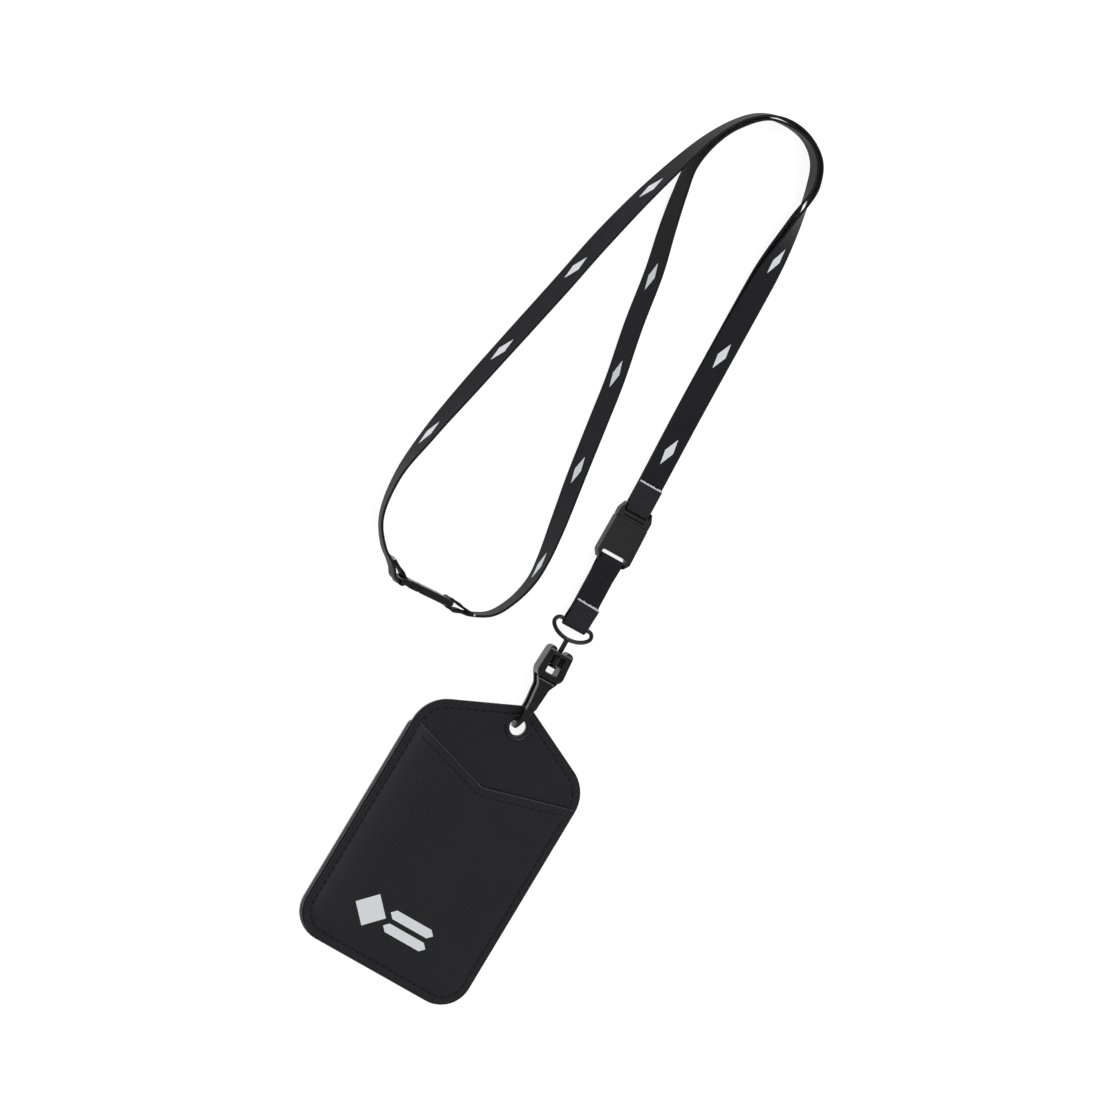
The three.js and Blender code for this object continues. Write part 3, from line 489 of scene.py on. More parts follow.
MATERIALS = {
    "face": twill("face_twill", (0.018, 0.018, 0.02)),
    # The pocket's cloth has a painted highlight just inside its left seam
    "pocket": twill("pocket_twill", (0.019, 0.019, 0.021), left_highlight=0.5),
    # A lit copy of the cloth: its paler colour is a painted highlight on the pocket's mouth edge
    "hem": twill("mouth_edge_highlight_twill", (0.07, 0.07, 0.074)),
    "rear": twill("rear_twill", (0.018, 0.018, 0.02), 1.0, 0.8),
    "lining": plain_cloth("lining_cloth", (0.014, 0.014, 0.016)),
    "foam": foam("foam_core", (0.15, 0.15, 0.155)),
    "film": clear_film("window_film", (0.75, 0.78, 0.8)),
    "thread": sewing_thread("black_thread", (0.003, 0.003, 0.0035)),
    "eyelet": moulded_plastic("eyelet_plastic", (0.01, 0.01, 0.011), 0.4, 0.25),
    "hook": moulded_plastic("hook_plastic", (0.006, 0.006, 0.0075), 0.34, 0.2, 0.1),
    "bush": moulded_plastic("bush_plastic", (0.008, 0.008, 0.009), 0.5),
    "ring": coated_wire("ring_wire", (0.012, 0.012, 0.014)),
    "buckle": moulded_plastic("buckle_plastic", (0.011, 0.011, 0.0125), 0.5, 0.35),
    "clasp": moulded_plastic("clasp_plastic", (0.009, 0.009, 0.011), 0.34, 0.2),
    "strap": webbing("neck_webbing", (0.0105, 0.0105, 0.0125)),
    # A lit copy of the webbing: paler and with a stronger rib, as painted sheen on the folds
    "strap_fold": webbing("fold_sheen_webbing", (0.019, 0.019, 0.022), 1.1, 2.2, 2.0),
    "cut_end": plain_cloth("cut_end_fibre", (0.62, 0.62, 0.66), 0.8),
    "ink": print_ink("white_ink", (0.82, 0.83, 0.86)),
}


# ------------------------------------------------------------------ making meshes
def make(name, place, verts, faces, material, weave=None, sharp=40):
    """A closed mesh as an object, from points in a frame's millimetres."""
    mesh = bpy.data.meshes.new(name)
    mesh.from_pydata([place @ Vector(v) for v in verts], [], faces)
    if weave:
        stored = mesh.attributes.new("weave", "FLOAT_VECTOR", "POINT")
        stored.data.foreach_set("vector", [value for entry in weave for value in entry])
    shape = bmesh.new()
    shape.from_mesh(mesh)
    bmesh.ops.triangulate(shape, faces=[f for f in shape.faces if len(f.verts) > 4])
    bmesh.ops.recalc_face_normals(shape, faces=shape.faces)
    shape.to_mesh(mesh)
    shape.free()
    mesh.shade_smooth()
    mesh.set_sharp_from_angle(angle=math.radians(sharp))
    return finish_piece(name, mesh, material)


def finish_piece(name, mesh, material):
    mesh.materials.clear()
    mesh.materials.append(MATERIALS[material])
    piece = bpy.data.objects.new(name, mesh)
    bpy.context.scene.collection.objects.link(piece)
    return piece


def rings_to_faces(start, count, rings, closed=False):
    """Quads between rings of count points each, and from the last ring to the first if closed."""
    faces = []
    for r in range(rings if closed else rings - 1):
        a = start + r * count
        b = start + (r + 1) % rings * count
        for i in range(count):
            j = (i + 1) % count
            faces.append((a + i, a + j, b + j, b + i))
    return faces


def ends(start, count, rings):
    first = tuple(range(start, start + count))
    last = tuple(range(start + (rings - 1) * count, start + rings * count))
    return [first[::-1], last]


# ------------------------------------------------------------------ smooth lines
def curve_point(points, t):
    """A point on the centripetal Catmull-Rom curve through points, with t from 0 to 1."""
    place = (len(points) - 1) * t
    i = min(int(place), len(points) - 2)
    u = place - i
    p1 = points[i]
    p2 = points[i + 1]
    p0 = points[i - 1] if i else 2 * p1 - p2
    p3 = points[i + 2] if i + 2 < len(points) else 2 * p2 - p1
    d1 = math.sqrt((p2 - p1).length) or 1
    d0 = math.sqrt((p1 - p0).length) or d1
    d2 = math.sqrt((p3 - p2).length) or d1
    t1 = ((p1 - p0) / d0 - (p2 - p0) / (d0 + d1) + (p2 - p1) / d1) * d1
    t2 = ((p2 - p1) / d1 - (p3 - p1) / (d1 + d2) + (p3 - p2) / d2) * d1
    return p1 + u * t1 + u * u * (3 * (p2 - p1) - 2 * t1 - t2) + u ** 3 * (2 * (p1 - p2) + t1 + t2)


def smooth_stations(points, sides, first, last, steps):
    """Stations (point, side) along the curve, from its control point first to its last."""
    span = len(points) - 1
    stations = []
    for i in range(steps + 1):
        t = (first + (last - first) * i / steps) / span
        stations.append((curve_point(points, t), curve_point(sides, t).normalized()))
    return stations


# ------------------------------------------------------------------ webbing
def framed(stations):
    """Each station's point, side, upper face's direction and distance from the first."""
    frames = []
    travelled = 0.0
    for i, (point, side) in enumerate(stations):
        before = stations[max(i - 1, 0)][0]
        after = stations[min(i + 1, len(stations) - 1)][0]
        ahead = (after - before).normalized()
        across = (side - ahead * side.dot(ahead)).normalized()
        travelled += (point - before).length
        frames.append((point, across, across.cross(ahead), travelled))
    return frames


def at_distance(frames, distance):
    """The frame at a distance along the strap."""
    i = bisect.bisect([f[3] for f in frames], distance)
    i = min(max(i, 1), len(frames) - 1)
    a = frames[i - 1]
    b = frames[i]
    u = (distance - a[3]) / (b[3] - a[3])
    return a[0].lerp(b[0], u), a[1].lerp(b[1], u), a[2].lerp(b[2], u), distance


def face_height(across):
    """How far the webbing's face stands from its middle: fuller at the selvedge."""
    edge = WEBBING_WIDTH / 2 - abs(across)
    half = WEBBING / 2
    if edge < 0.3:
        return half * math.sqrt(max(0, 1 - (1 - edge / 0.3) ** 2))
    bead = math.exp(-((edge - 0.45) / 0.25) ** 2)
    return half * (0.9 + 0.1 * bead)


ACROSS = [-5, -4.96, -4.86, -4.7, -4.45, -4.15, -3.6, -1.8, 0, 1.8, 3.6, 4.15, 4.45, 4.7, 4.86, 4.96, 5]
SECTION = [(a, face_height(a)) for a in ACROSS] + [(a, -face_height(a)) for a in ACROSS[-2:0:-1]]


def ribbon(name, frames, material="strap"):
    """A length of webbing."""
    verts = []
    weave = []
    for point, across, up, travelled in frames:
        for a, h in SECTION:
            verts.append(point + (across * a + up * h) * MM)
            weave.append((a, travelled / MM, h))
    count = len(SECTION)
    faces = rings_to_faces(0, count, len(frames)) + ends(0, count, len(frames))
    return make(name, Matrix.Identity(4), verts, faces, material, weave)


def cut_end(name, frame_at, seed):
    """The pale cut threads at a strap's end: a row of short tufts."""
    rng = random.Random(seed)
    point, across, up, _ = frame_at
    ahead = up.cross(across)
    verts = []
    faces = []
    tufts = 34
    width = WEBBING_WIDTH / tufts
    for i in range(tufts):
        a = -WEBBING_WIDTH / 2 + width * (i + 0.5)
        half = 0.52 * face_height(a) / 0.5 + 0.02
        reach = rng.uniform(0.3, 0.75)
        lean = rng.uniform(-0.1, 0.1)
        start = len(verts)
        for distance, size in ((-0.12, 1.0), (reach * 0.6, 0.95), (reach, 0.6)):
            for s, h in ((-1, -1), (1, -1), (1, 1), (-1, 1)):
                shift = across * (a + lean * max(distance, 0) + s * width * 0.56 * size)
                verts.append(point + (shift + up * h * half * size - ahead * distance) * MM)
        faces += rings_to_faces(start, 4, 3) + ends(start, 4, 3)
    return make(name, Matrix.Identity(4), verts, faces, "cut_end")


def printed_marks(name, frames, distances, face=1):
    """Plain pale lozenges printed along a strap."""
    verts = []
    faces = []
    half_length = 5.6
    half_width = 1.75
    slant = 0.9
    steps = 12
    for distance in distances:
        start = len(verts)
        for i in range(steps + 1):
            t = 2 * i / steps - 1
            point, across, up, _ = at_distance(frames, (distance + t * half_length) * MM)
            reach = half_width * (1 - abs(t)) + 0.06
            for s in (-1, 0, 1):
                a = slant * t + s * reach
                for lift in (0.03, -0.05):
                    verts.append(point + (across * a + up * face * (face_height(a) + lift)) * MM)
        for i in range(steps):
            a = start + 6 * i
            b = a + 6
            for k in (0, 2):
                faces.append((a + k, a + k + 2, b + k + 2, b + k))
                faces.append((a + k + 1, b + k + 1, b + k + 3, a + k + 3))
            faces.append((a, b, b + 1, a + 1))
            faces.append((a + 4, a + 5, b + 5, b + 4))
        last = start + 6 * steps
        for e in (start, last):
            faces += [(e, e + 1, e + 3, e + 2), (e + 2, e + 3, e + 5, e + 4)]
    return make(name, Matrix.Identity(4), verts, faces, "ink")


# ------------------------------------------------------------------ neck straps
STRAP_SIDE = (STRAP.to_3x3() @ Vector((1, 0, 0))).normalized()
plug_end = extent("buckle_plug", STRAP)[1].y
tail_end = plug_end + NECK_TAIL
fold_middle = plug_end - PLUG_BAR + BAR_THICKNESS / 2 - GAP / 2
fold_radius = BAR_THICKNESS / 2 + GAP + WEBBING / 2


def strap_station(y, height, shift=0.0):
    return STRAP @ Vector((shift, y, height)), STRAP_SIDE.copy()


def route_stations(route, before, after, steps):
    """Stations along a given route, joined smoothly to those before and after it."""
    middles = []
    for x, y, low, tilt in route:
        a = math.radians(tilt)
        lift = (WEBBING_WIDTH * abs(math.sin(a)) + WEBBING * abs(math.cos(a))) / 2 * MM
        middles.append(HOLDER_BASE + Vector((x, y, low + lift)))
    points = [s[0] for s in before] + middles + [s[0] for s in after]
    sides = [s[1] for s in before]
    for i, row in enumerate(route):
        here = len(before) + i
        flat = points[here + 1] - points[here - 1]
        flat.z = 0
        flat.normalize()
        a = math.radians(row[3])
        sides.append(Vector((flat.y, -flat.x, 0)) * math.cos(a) + Vector((0, 0, math.sin(a))))
    sides += [s[1] for s in after]
    first = len(before) - 1
    last = len(points) - len(after)
    return smooth_stations(points, sides, first, last, steps)[1:-1]


def refined(stations, steps):
    points = [s[0] for s in stations]
    sides = [s[1] for s in stations]
    return smooth_stations(points, sides, 0, len(points) - 1, steps)


def bar_loop(bar_x, heading, turn, tail):
    """The end loop round a clasp bar: in along one side, round the bar, and back."""
    height = extent("clasp_plug", CLASP)[1].z / 2
    bar = CLASP @ Vector((bar_x, 0, height))
    ahead = Vector((math.cos(heading), math.sin(heading), 0))
    left = Vector((-ahead.y, ahead.x, 0)) * turn
    radius = CLASP_BAR_RADIUS + GAP + WEBBING / 2

    def at(forward, sideways):
        return bar + (ahead * forward + left * sideways) * MM, Vector((0, 0, -1))

    stations = [at(-8, 0), at(-5.2, 0.6), at(-2.6, 1.75)]
    for i in range(9):
        angle = math.pi * (0.6 - 1.2 * i / 8)
        stations.append(at(radius * math.cos(angle), radius * math.sin(angle)))
    stations += [at(-2.6, -1.75), at(-5.2, -1.35), at(-8, -1.35), at(-8 - tail, -1.35)]
    return stations


def inner_start():
    """The inner strap from its cut end, round the plug's bar and back beneath."""
    tail = tail_end - fold_middle
    stations = [strap_station(tail_end - tail * i / 5, fold_radius + 0.02) for i in range(5)]
    for i in range(9):
        angle = math.pi * (0.5 + i / 8)
        y = fold_middle + (fold_radius + 0.7) * math.cos(angle)
        stations.append(strap_station(y, fold_radius * math.sin(angle)))
    stations.append(strap_station(fold_middle + 3, -fold_radius))
    stations.append(strap_station(tail_end, -fold_radius + 0.05))
    return stations


def outer_start():
    start = plug_end + 1.2
    return [strap_station(y, 0) for y in (start, (start + tail_end) / 2, tail_end)]


LOOP_STEPS = 72
ROUTE_STEPS = 260


def make_outer_strap():
    loop = bar_loop(-CLASP_PITCH / 2, -0.5, -1, 1)
    start = outer_start()
    route = route_stations(OUTER_ROUTE, start, loop, ROUTE_STEPS)
    frames = framed(refined(start, 12) + route + refined(loop, LOOP_STEPS))
    split = len(frames) - LOOP_STEPS - 1
    strap = ribbon("neck_strap_outer_web", frames[:split + 1])
    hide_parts("neck_strap_outer")
    # The one left out would lie on the arch's bend
    first, pitch = OUTER_MARKS
    distances = [first + pitch * i for i in (0, 1, 2, 3, 5, 6, 7, 8)]
    marks = printed_marks("outer_strap_marks", frames[:split + 1], distances)
    for piece in (strap, marks):
        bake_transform(piece)
    end_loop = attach(ribbon("outer_strap_loop", frames[split:]), "clasp_end")
    end_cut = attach(cut_end("outer_loop_cut", frames[-1], 3), "clasp_end")


def make_inner_strap():
    loop = bar_loop(CLASP_PITCH / 2, math.pi - 0.05, 1, 2.5)
    start = inner_start()
    fold_steps = 60
    route = route_stations(INNER_ROUTE, start, loop, ROUTE_STEPS)
    frames = framed(refined(start, fold_steps) + route + refined(loop, LOOP_STEPS))
    split = len(frames) - LOOP_STEPS - 1
    strap = ribbon("neck_strap_inner_web", frames[fold_steps:split + 1])
    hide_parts("neck_strap_inner")
    # The fold is drawn in the paler webbing, a painted sheen
    fold = ribbon("neck_strap_fold", frames[:fold_steps + 1], "strap_fold")
    fold_cut = cut_end("neck_fold_cut", frames[0], 5)
    first, pitch = INNER_MARKS
    distances = [first + pitch * i for i in range(4)]
    marks = printed_marks("inner_strap_marks", frames[fold_steps:split + 1], distances)
    end_loop = ribbon("inner_strap_loop", frames[split:])
    end_cut = cut_end("inner_loop_cut", frames[-1], 7)
    companions = [fold, fold_cut, marks, end_loop, end_cut]
    for piece in [strap, *companions]:
        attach(piece, "neck")


# ------------------------------------------------------------------ moulded pieces
def moulded(name, node, place, body, material, voxel=0.13, smoothing=8, cuts=(), warp=None):
    """A moulding with softly rounded edges, made from its CAD node's form."""
    mesh = frame["nodes"][node].data.copy()
    mesh.transform(place.inverted())
    if warp:
        for vertex in mesh.vertices:
            vertex.co = warp(vertex.co)
    shape = bmesh.new()
    shape.from_mesh(mesh)
    bmesh.ops.remove_doubles(shape, verts=shape.verts, dist=0.002)
    shape.to_mesh(mesh)
    shape.free()
    draft = bpy.data.objects.new(name + "_draft", mesh)
    bpy.context.scene.collection.objects.link(draft)
    cutters = []
    for low, high in cuts:
        cutter_mesh = bpy.data.meshes.new("cutter")
        cutter_shape = bmesh.new()
        size = Vector(high) - Vector(low)
        middle = (Vector(high) + Vector(low)) / 2
        matrix = Matrix.Translation(middle) @ Matrix.Diagonal((*size, 1))
        bmesh.ops.create_cube(cutter_shape, size=1, matrix=matrix)
        cutter_shape.to_mesh(cutter_mesh)
        cutter_shape.free()
        cutter = bpy.data.objects.new("cutter", cutter_mesh)
        bpy.context.scene.collection.objects.link(cutter)
        cutters.append(cutter)
        cutting = draft.modifiers.new("cut", "BOOLEAN")
        cutting.operation = "DIFFERENCE"
        cutting.solver = "EXACT"
        cutting.object = cutter
    remesh = draft.modifiers.new("remesh", "REMESH")
    remesh.mode = "VOXEL"
    remesh.voxel_size = voxel * 1
    smooth = draft.modifiers.new("smooth", "SMOOTH")
    smooth.factor = 0.5
    smooth.iterations = smoothing
    bpy.context.view_layer.update()
    finished = bpy.data.meshes.new_from_object(draft.evaluated_get(bpy.context.evaluated_depsgraph_get()))
    for extra in [draft, *cutters]:
        bpy.data.objects.remove(extra)
    finished.transform(place)
    finished.name = name
    finished.shade_smooth()
    piece = finish_piece(name, finished, material)
    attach(piece, body)
    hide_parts(node)
    return piece


def block(name, place, low, high, body, material):
    """A plain block that closes the line of sight through a seam."""
    verts = [(x, y, z) for z in (low[2], high[2]) for x, y in (
        (low[0], low[1]), (high[0], low[1]), (high[0], high[1]), (low[0], high[1]))]
    piece = make(name, place, verts, rings_to_faces(0, 4, 2) + ends(0, 4, 2), material)
    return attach(piece, body)


def half_width_near(node, place, y, reach=0.6):
    """Half the width of a CAD node, in a frame, near a place along it."""
    back = place.inverted()
    points = [back @ v.co for v in frame["nodes"][node].data.vertices]
    return max(abs(p.x) for p in points if abs(p.y - y) < reach)


def widened_nose(point):
    """The hook's nose is a little wider than its simple form, and blends into the shank."""
    grow = NOSE_GROWTH * min(1, max(0, (11 - point.y) / 7))
    return Vector((point.x * (1 + grow), point.y, point.z))


def make_hook():
    low, high = extent("hook_gate", CHAIN)
    middle = (low.y + high.y) / 2

    def gate_form(point):
        point = widened_nose(point)
        point.y += 0.12 if point.y > middle else -0.12
        return point

    moulded("hook_moulding", "hook_body", CHAIN, "hook", "hook", 0.13, 14,
            warp=widened_nose)
    moulded("gate_moulding", "hook_gate", CHAIN, "gate", "hook", 0.12, 6, warp=gate_form)
    nose = half_width_near("hook_gate", CHAIN, low.y) * (1 + NOSE_GROWTH) - 0.25
    block("hook_stop_face", CHAIN, (-nose, low.y - GAP - 0.6, low.z + 0.3),
          (nose, low.y - 0.14, high.z - 0.3), "hook", "hook")
    root = half_width_near("hook_gate", CHAIN, high.y) - 0.3
    block("hook_root_face", CHAIN, (-root, high.y + 0.14, low.z + 0.3), (root, high.y + 1, high.z - 0.4),
          "hook", "hook")


def make_fittings():
    make_hook()
    bush_low, bush_high = extent("swivel_bush", CHAIN)
    bush_middle = (bush_low.y + bush_high.y) / 2
    spread = 1 + 0.2 / bush_high.x

    def fuller(point):
        y = bush_middle + (point.y - bush_middle) * 1.08
        return Vector((point.x * spread, y, point.z * spread))

    moulded("bush_moulding", "swivel_bush", CHAIN, "swivel", "bush", 0.11, 4, warp=fuller)
    moulded("ring_coated_wire", "swivel_ring", CHAIN, "swivel", "ring", 0.12, 5)
    moulded("socket_moulding", "buckle_socket", STRAP, "strap_end", "buckle", 0.13, 5)
    moulded("button_moulding", "buckle_button", STRAP, "button", "buckle", 0.1, 4)
    socket = extent("buckle_socket", STRAP)[1]
    low, high = extent("buckle_plug", STRAP)
    start = socket.y + GAP / 2
    recess = ((-4.6, start + 1.0, high.z - 0.7), (4.4, start + 1.5, high.z + 1))
    moulded("plug_moulding", "buckle_plug", STRAP, "neck", "buckle", 0.12, 5, [recess])
    block("plug_shoulder", STRAP, (-socket.x + 0.3, socket.y + 0.03, low.z + 0.3),
          (socket.x - 0.3, socket.y + GAP + 0.5, high.z - 0.3), "neck", "buckle")


# ------------------------------------------------------------------ short strap
def make_short_strap():
    """The loop of webbing between the ring's bar and the socket's bar."""
    socket = extent("buckle_socket", STRAP)[0].y
    bar = socket + 1.2
    path = [
        (0.55, 8.7, 1.66), (0.45, 6.6, 1.62), (0.25, 4.2, 1.6), (0.1, 2, 1.7), (0, 0, 1.66),
        (0, -1.17, 1.17), (0, -1.66, 0), (0, -1.17, -1.17), (0, 0, -1.66),
        (0, 2, -1.62), (0, 4.6, -1.0), (0, 7.5, -0.58), (0, 14, -0.56), (0, bar - 6, -0.57),
        (0, bar - 3.2, -1.1), (0, bar - 1, -1.4), (0, bar + 0.7, -1.4), (0, bar + 1.55, -0.95),
        (0, bar + 1.8, 0), (0, bar + 1.55, 0.95), (0, bar + 0.7, 1.4), (0, bar - 1, 1.4),
        (0, bar - 3.2, 1.1), (0, bar - 6, 0.57), (0, 14, 0.56), (0, 9.6, 0.56), (0, 6.5, 0.55),
        (0, 4.4, 0.5),
    ]
    stations = refined([strap_station(y, z, x) for x, y, z in path], 220)
    frames = framed(stations)
    tail = next(i for i, f in enumerate(frames) if (STRAP.inverted() @ f[0]).y < -1.2)
    pieces = [
        # The tail is drawn in the paler webbing, a painted sheen
        ribbon("short_strap_tail", frames[:tail + 1], "strap_fold"),
        ribbon("short_strap_web", frames[tail:], "strap"),
        cut_end("short_strap_cut", frames[0], 11),
    ]
    for piece in pieces:
        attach(piece, "strap_end")
    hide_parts("lower_strap")


# ------------------------------------------------------------------ card holder
def inset(corners, d):
    """A polygon of corners (x, y, radius), anticlockwise, moved in by d on every side."""
    moved = []
    for i, (x, y, radius) in enumerate(corners):
        here = Vector((x, y))
        before = (here - Vector(corners[i - 1][:2])).normalized()
        after = (Vector(corners[(i + 1) % len(corners)][:2]) - here).normalized()
        a = Vector((-before.y, before.x))
        b = Vector((-after.y, after.x))
        here = here + (a + b) * d / (1 + a.dot(b))
        outward = before.cross(after) > 0
        moved.append((here.x, here.y, max(0.02, radius - d if outward else radius + d)))
    return moved


def outline(corners, arc_steps=10, edge_steps=14):
    """Points round a polygon with rounded corners: (x, y, edge), where edge is the index of
    the side that the point is on or, on a corner, the side after it."""
    points = []
    arcs = []
    for i, (x, y, radius) in enumerate(corners):
        here = Vector((x, y))
        back = (Vector(corners[i - 1][:2]) - here).normalized()
        ahead = (Vector(corners[(i + 1) % len(corners)][:2]) - here).normalized()
        half = back.angle(ahead) / 2
        centre = here + (back + ahead).normalized() * radius / math.sin(half)
        start = here + back * radius / math.tan(half) - centre
        end = here + ahead * radius / math.tan(half) - centre
        turn = start.angle_signed(end)
        arc = []
        for k in range(arc_steps + 1):
            angle = -turn * k / arc_steps
            arc.append(centre + Matrix.Rotation(angle, 2) @ start)
        arcs.append(arc)
    for i, arc in enumerate(arcs):
        points += [(p.x, p.y, i) for p in arc]
        end = arc[-1]
        following = arcs[(i + 1) % len(arcs)][0]
        for k in range(1, edge_steps):
            p = end.lerp(following, k / edge_steps)
            points.append((p.x, p.y, i))
    return points


def edge_profile(z0, z1, radius, steps=4):
    """(inset, height) up a soft edge, from the bottom face to the top one."""
    profile = []
    for k in range(steps + 1):
        a = math.pi / 2 * k / steps
        profile.append((radius * (1 - math.sin(a)), z0 + radius * (1 - math.cos(a))))
    for k in range(steps + 1):
        a = math.pi / 2 * k / steps
        profile.append((radius * (1 - math.cos(a)), z1 - radius * (1 - math.sin(a))))
    return profile


def layer(name, corners, z0, z1, radius, material, arc_steps=10, edge_steps=10, hole=None):
    """A flat layer with soft edges, and a rounded opening if hole gives its corners."""
    rings = [(corners, d, z) for d, z in edge_profile(z0, z1, radius)]
    if hole:
        rings += [(hole, -d, z) for d, z in reversed(edge_profile(z0, z1, radius))]
    verts = []
    for ring, d, z in rings:
        verts += [(x, y, z) for x, y, _ in outline(inset(ring, d), arc_steps, edge_steps)]
    count = len(verts) // len(rings)
    faces = rings_to_faces(0, count, len(rings), closed=bool(hole))
    if not hole:
        faces += ends(0, count, len(rings))
    piece = make(name, HOLDER, verts, faces, material)
    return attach(piece, "holder")


def tag_corners():
    return [
        (-HALF_WIDTH, 0, BOTTOM_RADIUS),
        (HALF_WIDTH, 0, BOTTOM_RADIUS),
        (HALF_WIDTH, SHOULDER, SHOULDER_RADIUS),
        (0, HOLDER_HEIGHT, APEX_RADIUS),
        (-HALF_WIDTH, SHOULDER, SHOULDER_RADIUS),
    ]


def ripple(x, y, size, height):
    """Slow waviness of cloth."""
    return noise.noise(Vector((x / size, y / size, 4.2))) * height


def tag_sheet(name, z0, z1, radius, relief, material, hole_radius):
    """A layer of the whole tag with the eyelet's hole. relief(x, y, d) raises its top."""
    insets = [0.5, 1, 1.6, 2.2, 2.6, 2.9, 3.2, 3.5, 3.9, 4.3]
    profile = edge_profile(z0, z1, radius)
    verts = []
    for d, z in profile:
        verts += [(x, y, z) for x, y, _ in outline(inset(tag_corners(), d))]
    for d in insets:
        if d > radius:
            verts += [(x, y, z1 + relief(x, y, d)) for x, y, _ in outline(inset(tag_corners(), d))]
    count = len(outline(tag_corners()))
    inner = verts[-count:]
    circle = []
    for x, y, _ in inner:
        away = Vector((x, y - EYELET_Y)).normalized() * hole_radius
        circle.append((away.x, EYELET_Y + away.y))
    spokes = 26
    for k in range(1, spokes + 1):
        u = k / spokes
        for (x, y, _), (cx, cy) in zip(inner, circle):
            px = x + (cx - x) * u
            py = y + (cy - y) * u
            verts.append((px, py, z1 + relief(px, py, 4.3 + 10 * u) * (1 - u ** 8)))
    verts += [(x, y, z0) for x, y in circle]
    rings = len(verts) // count
    faces = rings_to_faces(0, count, rings, closed=True)
    piece = make(name, HOLDER, verts, faces, material)
    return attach(piece, "holder")


def panel_relief(x, y, d):
    groove = 0.14 * math.exp(-((d - STITCH_INSET) / 0.34) ** 2)
    rise = 0.14 * (1 - math.exp(-max(0, d - STITCH_INSET) / 1.4))
    return rise - groove + ripple(x, y, 22, 0.03)


def pocket_corners():
    side = HALF_WIDTH - POCKET_MARGIN
    mouth = extent("front_pocket", HOLDER)[1].y
    radius = BOTTOM_RADIUS - POCKET_MARGIN
    return [
        (-side, POCKET_MARGIN, radius),
        (side, POCKET_MARGIN, radius),
        (side, mouth, 1),
        (0, mouth - NOTCH_DEPTH, 5),
        (-side, mouth, 1),
    ]


def pocket_relief(x, y, d, mouth):
    """How the pocket's cloth stands: held down by its stitches, and fuller inside them."""
    seam = STITCH_INSET - POCKET_MARGIN
    groove = 0.2 * math.exp(-((d - seam) / 0.36) ** 2)
    crown = 0.85 * (1 - math.exp(-max(0, d - seam) / 2.2))
    side = crown - groove
    fold = 0.4 - 0.16 * math.exp(-((d - HEM) / 0.35) ** 2)
    if d > HEM:
        fold += 0.45 * (1 - math.exp(-(d - HEM) / 3))
    height = side * (1 - mouth) + fold * mouth
    return height + ripple(x, y, 26, 0.1) * min(1, d / 6)


def make_pocket():
    z0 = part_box("front_pocket")[0].z / MM
    z1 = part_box("front_pocket")[1].z / MM
    corners = pocket_corners()
    mouth_sides = (2, 3)
    insets = [0.35, 0.7, 1.2, 1.8, 2.2, 2.5, 2.8, 3.05, 3.3, 3.6, 4.1, 4.8, 5.8, 7, 8.5]
    verts = []
    for d, z in edge_profile(z0, z1, 0.24):
        for x, y, side in outline(inset(corners, d), 10, 22):
            # The mouth's folded edge is twice as thick
            lift = 0.4 * (z - z0) / (z1 - z0) if side in mouth_sides else 0
            verts.append((x, y, z + lift))
    for d in insets:
        for x, y, side in outline(inset(corners, d), 10, 22):
            mouth = 1.0 if side in mouth_sides else 0.0
            verts.append((x, y, z1 + pocket_relief(x, y, d, mouth)))
    count = len(outline(corners, 10, 22))
    inner = verts[-count:]
    sides = [side in mouth_sides for _, _, side in outline(corners, 10, 22)]
    middle = Vector((0, 40))
    spokes = 22
    for k in range(1, spokes):
        u = k / spokes
        for (x, y, _), at_mouth in zip(inner, sides):
            px = x + (middle.x - x) * u
            py = y + (middle.y - y) * u
            verts.append((px, py, z1 + pocket_relief(px, py, 8.5 + 20 * u, 1.0 if at_mouth else 0.0)))
    rings = len(verts) // count
    faces = rings_to_faces(0, count, rings) + ends(0, count, rings)
    piece = make("pocket_cloth", HOLDER, verts, faces, "pocket")
    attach(piece, "holder")
    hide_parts("front_pocket")


def stitch_row(name, points, height, pitch=STITCH_PITCH, thickness=THREAD, share=0.72, closed=False):
    """Thread showing in short arcs along a line of points (x, y) on a face at height(x, y)."""
    line = [Vector(p) for p in points]
    if closed:
        line.append(line[0])
    travelled = [0.0]
    for a, b in zip(line, line[1:]):
        travelled.append(travelled[-1] + (b - a).length)

    def at(distance):
        i = min(max(bisect.bisect(travelled, distance), 1), len(line) - 1)
        u = (distance - travelled[i - 1]) / max(travelled[i] - travelled[i - 1], 1e-9)
        return line[i - 1].lerp(line[i], u), (line[i] - line[i - 1]).normalized()

    verts = []
    faces = []
    count = round(travelled[-1] / pitch)
    step = travelled[-1] / count
    for n in range(count):
        start = len(verts)
        for k in range(7):
            t = k / 6
            place, ahead = at(step * (n + 0.5 * (1 - share) + share * t))
            arch = math.sin(math.pi * t)
            z = height(place.x, place.y) + thickness * (0.28 * arch - 0.3)
            girth = thickness / 2 * (0.75 + 0.25 * arch)
            across = Vector((-ahead.y, ahead.x))
            for s in range(6):
                angle = math.pi * s / 3
                spot = place + across * girth * math.cos(angle)
                verts.append((spot.x, spot.y, z + girth * math.sin(angle)))
        faces += rings_to_faces(start, 6, 7) + ends(start, 6, 7)
    piece = make(name, HOLDER, verts, faces, "thread", sharp=80)
    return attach(piece, "holder")


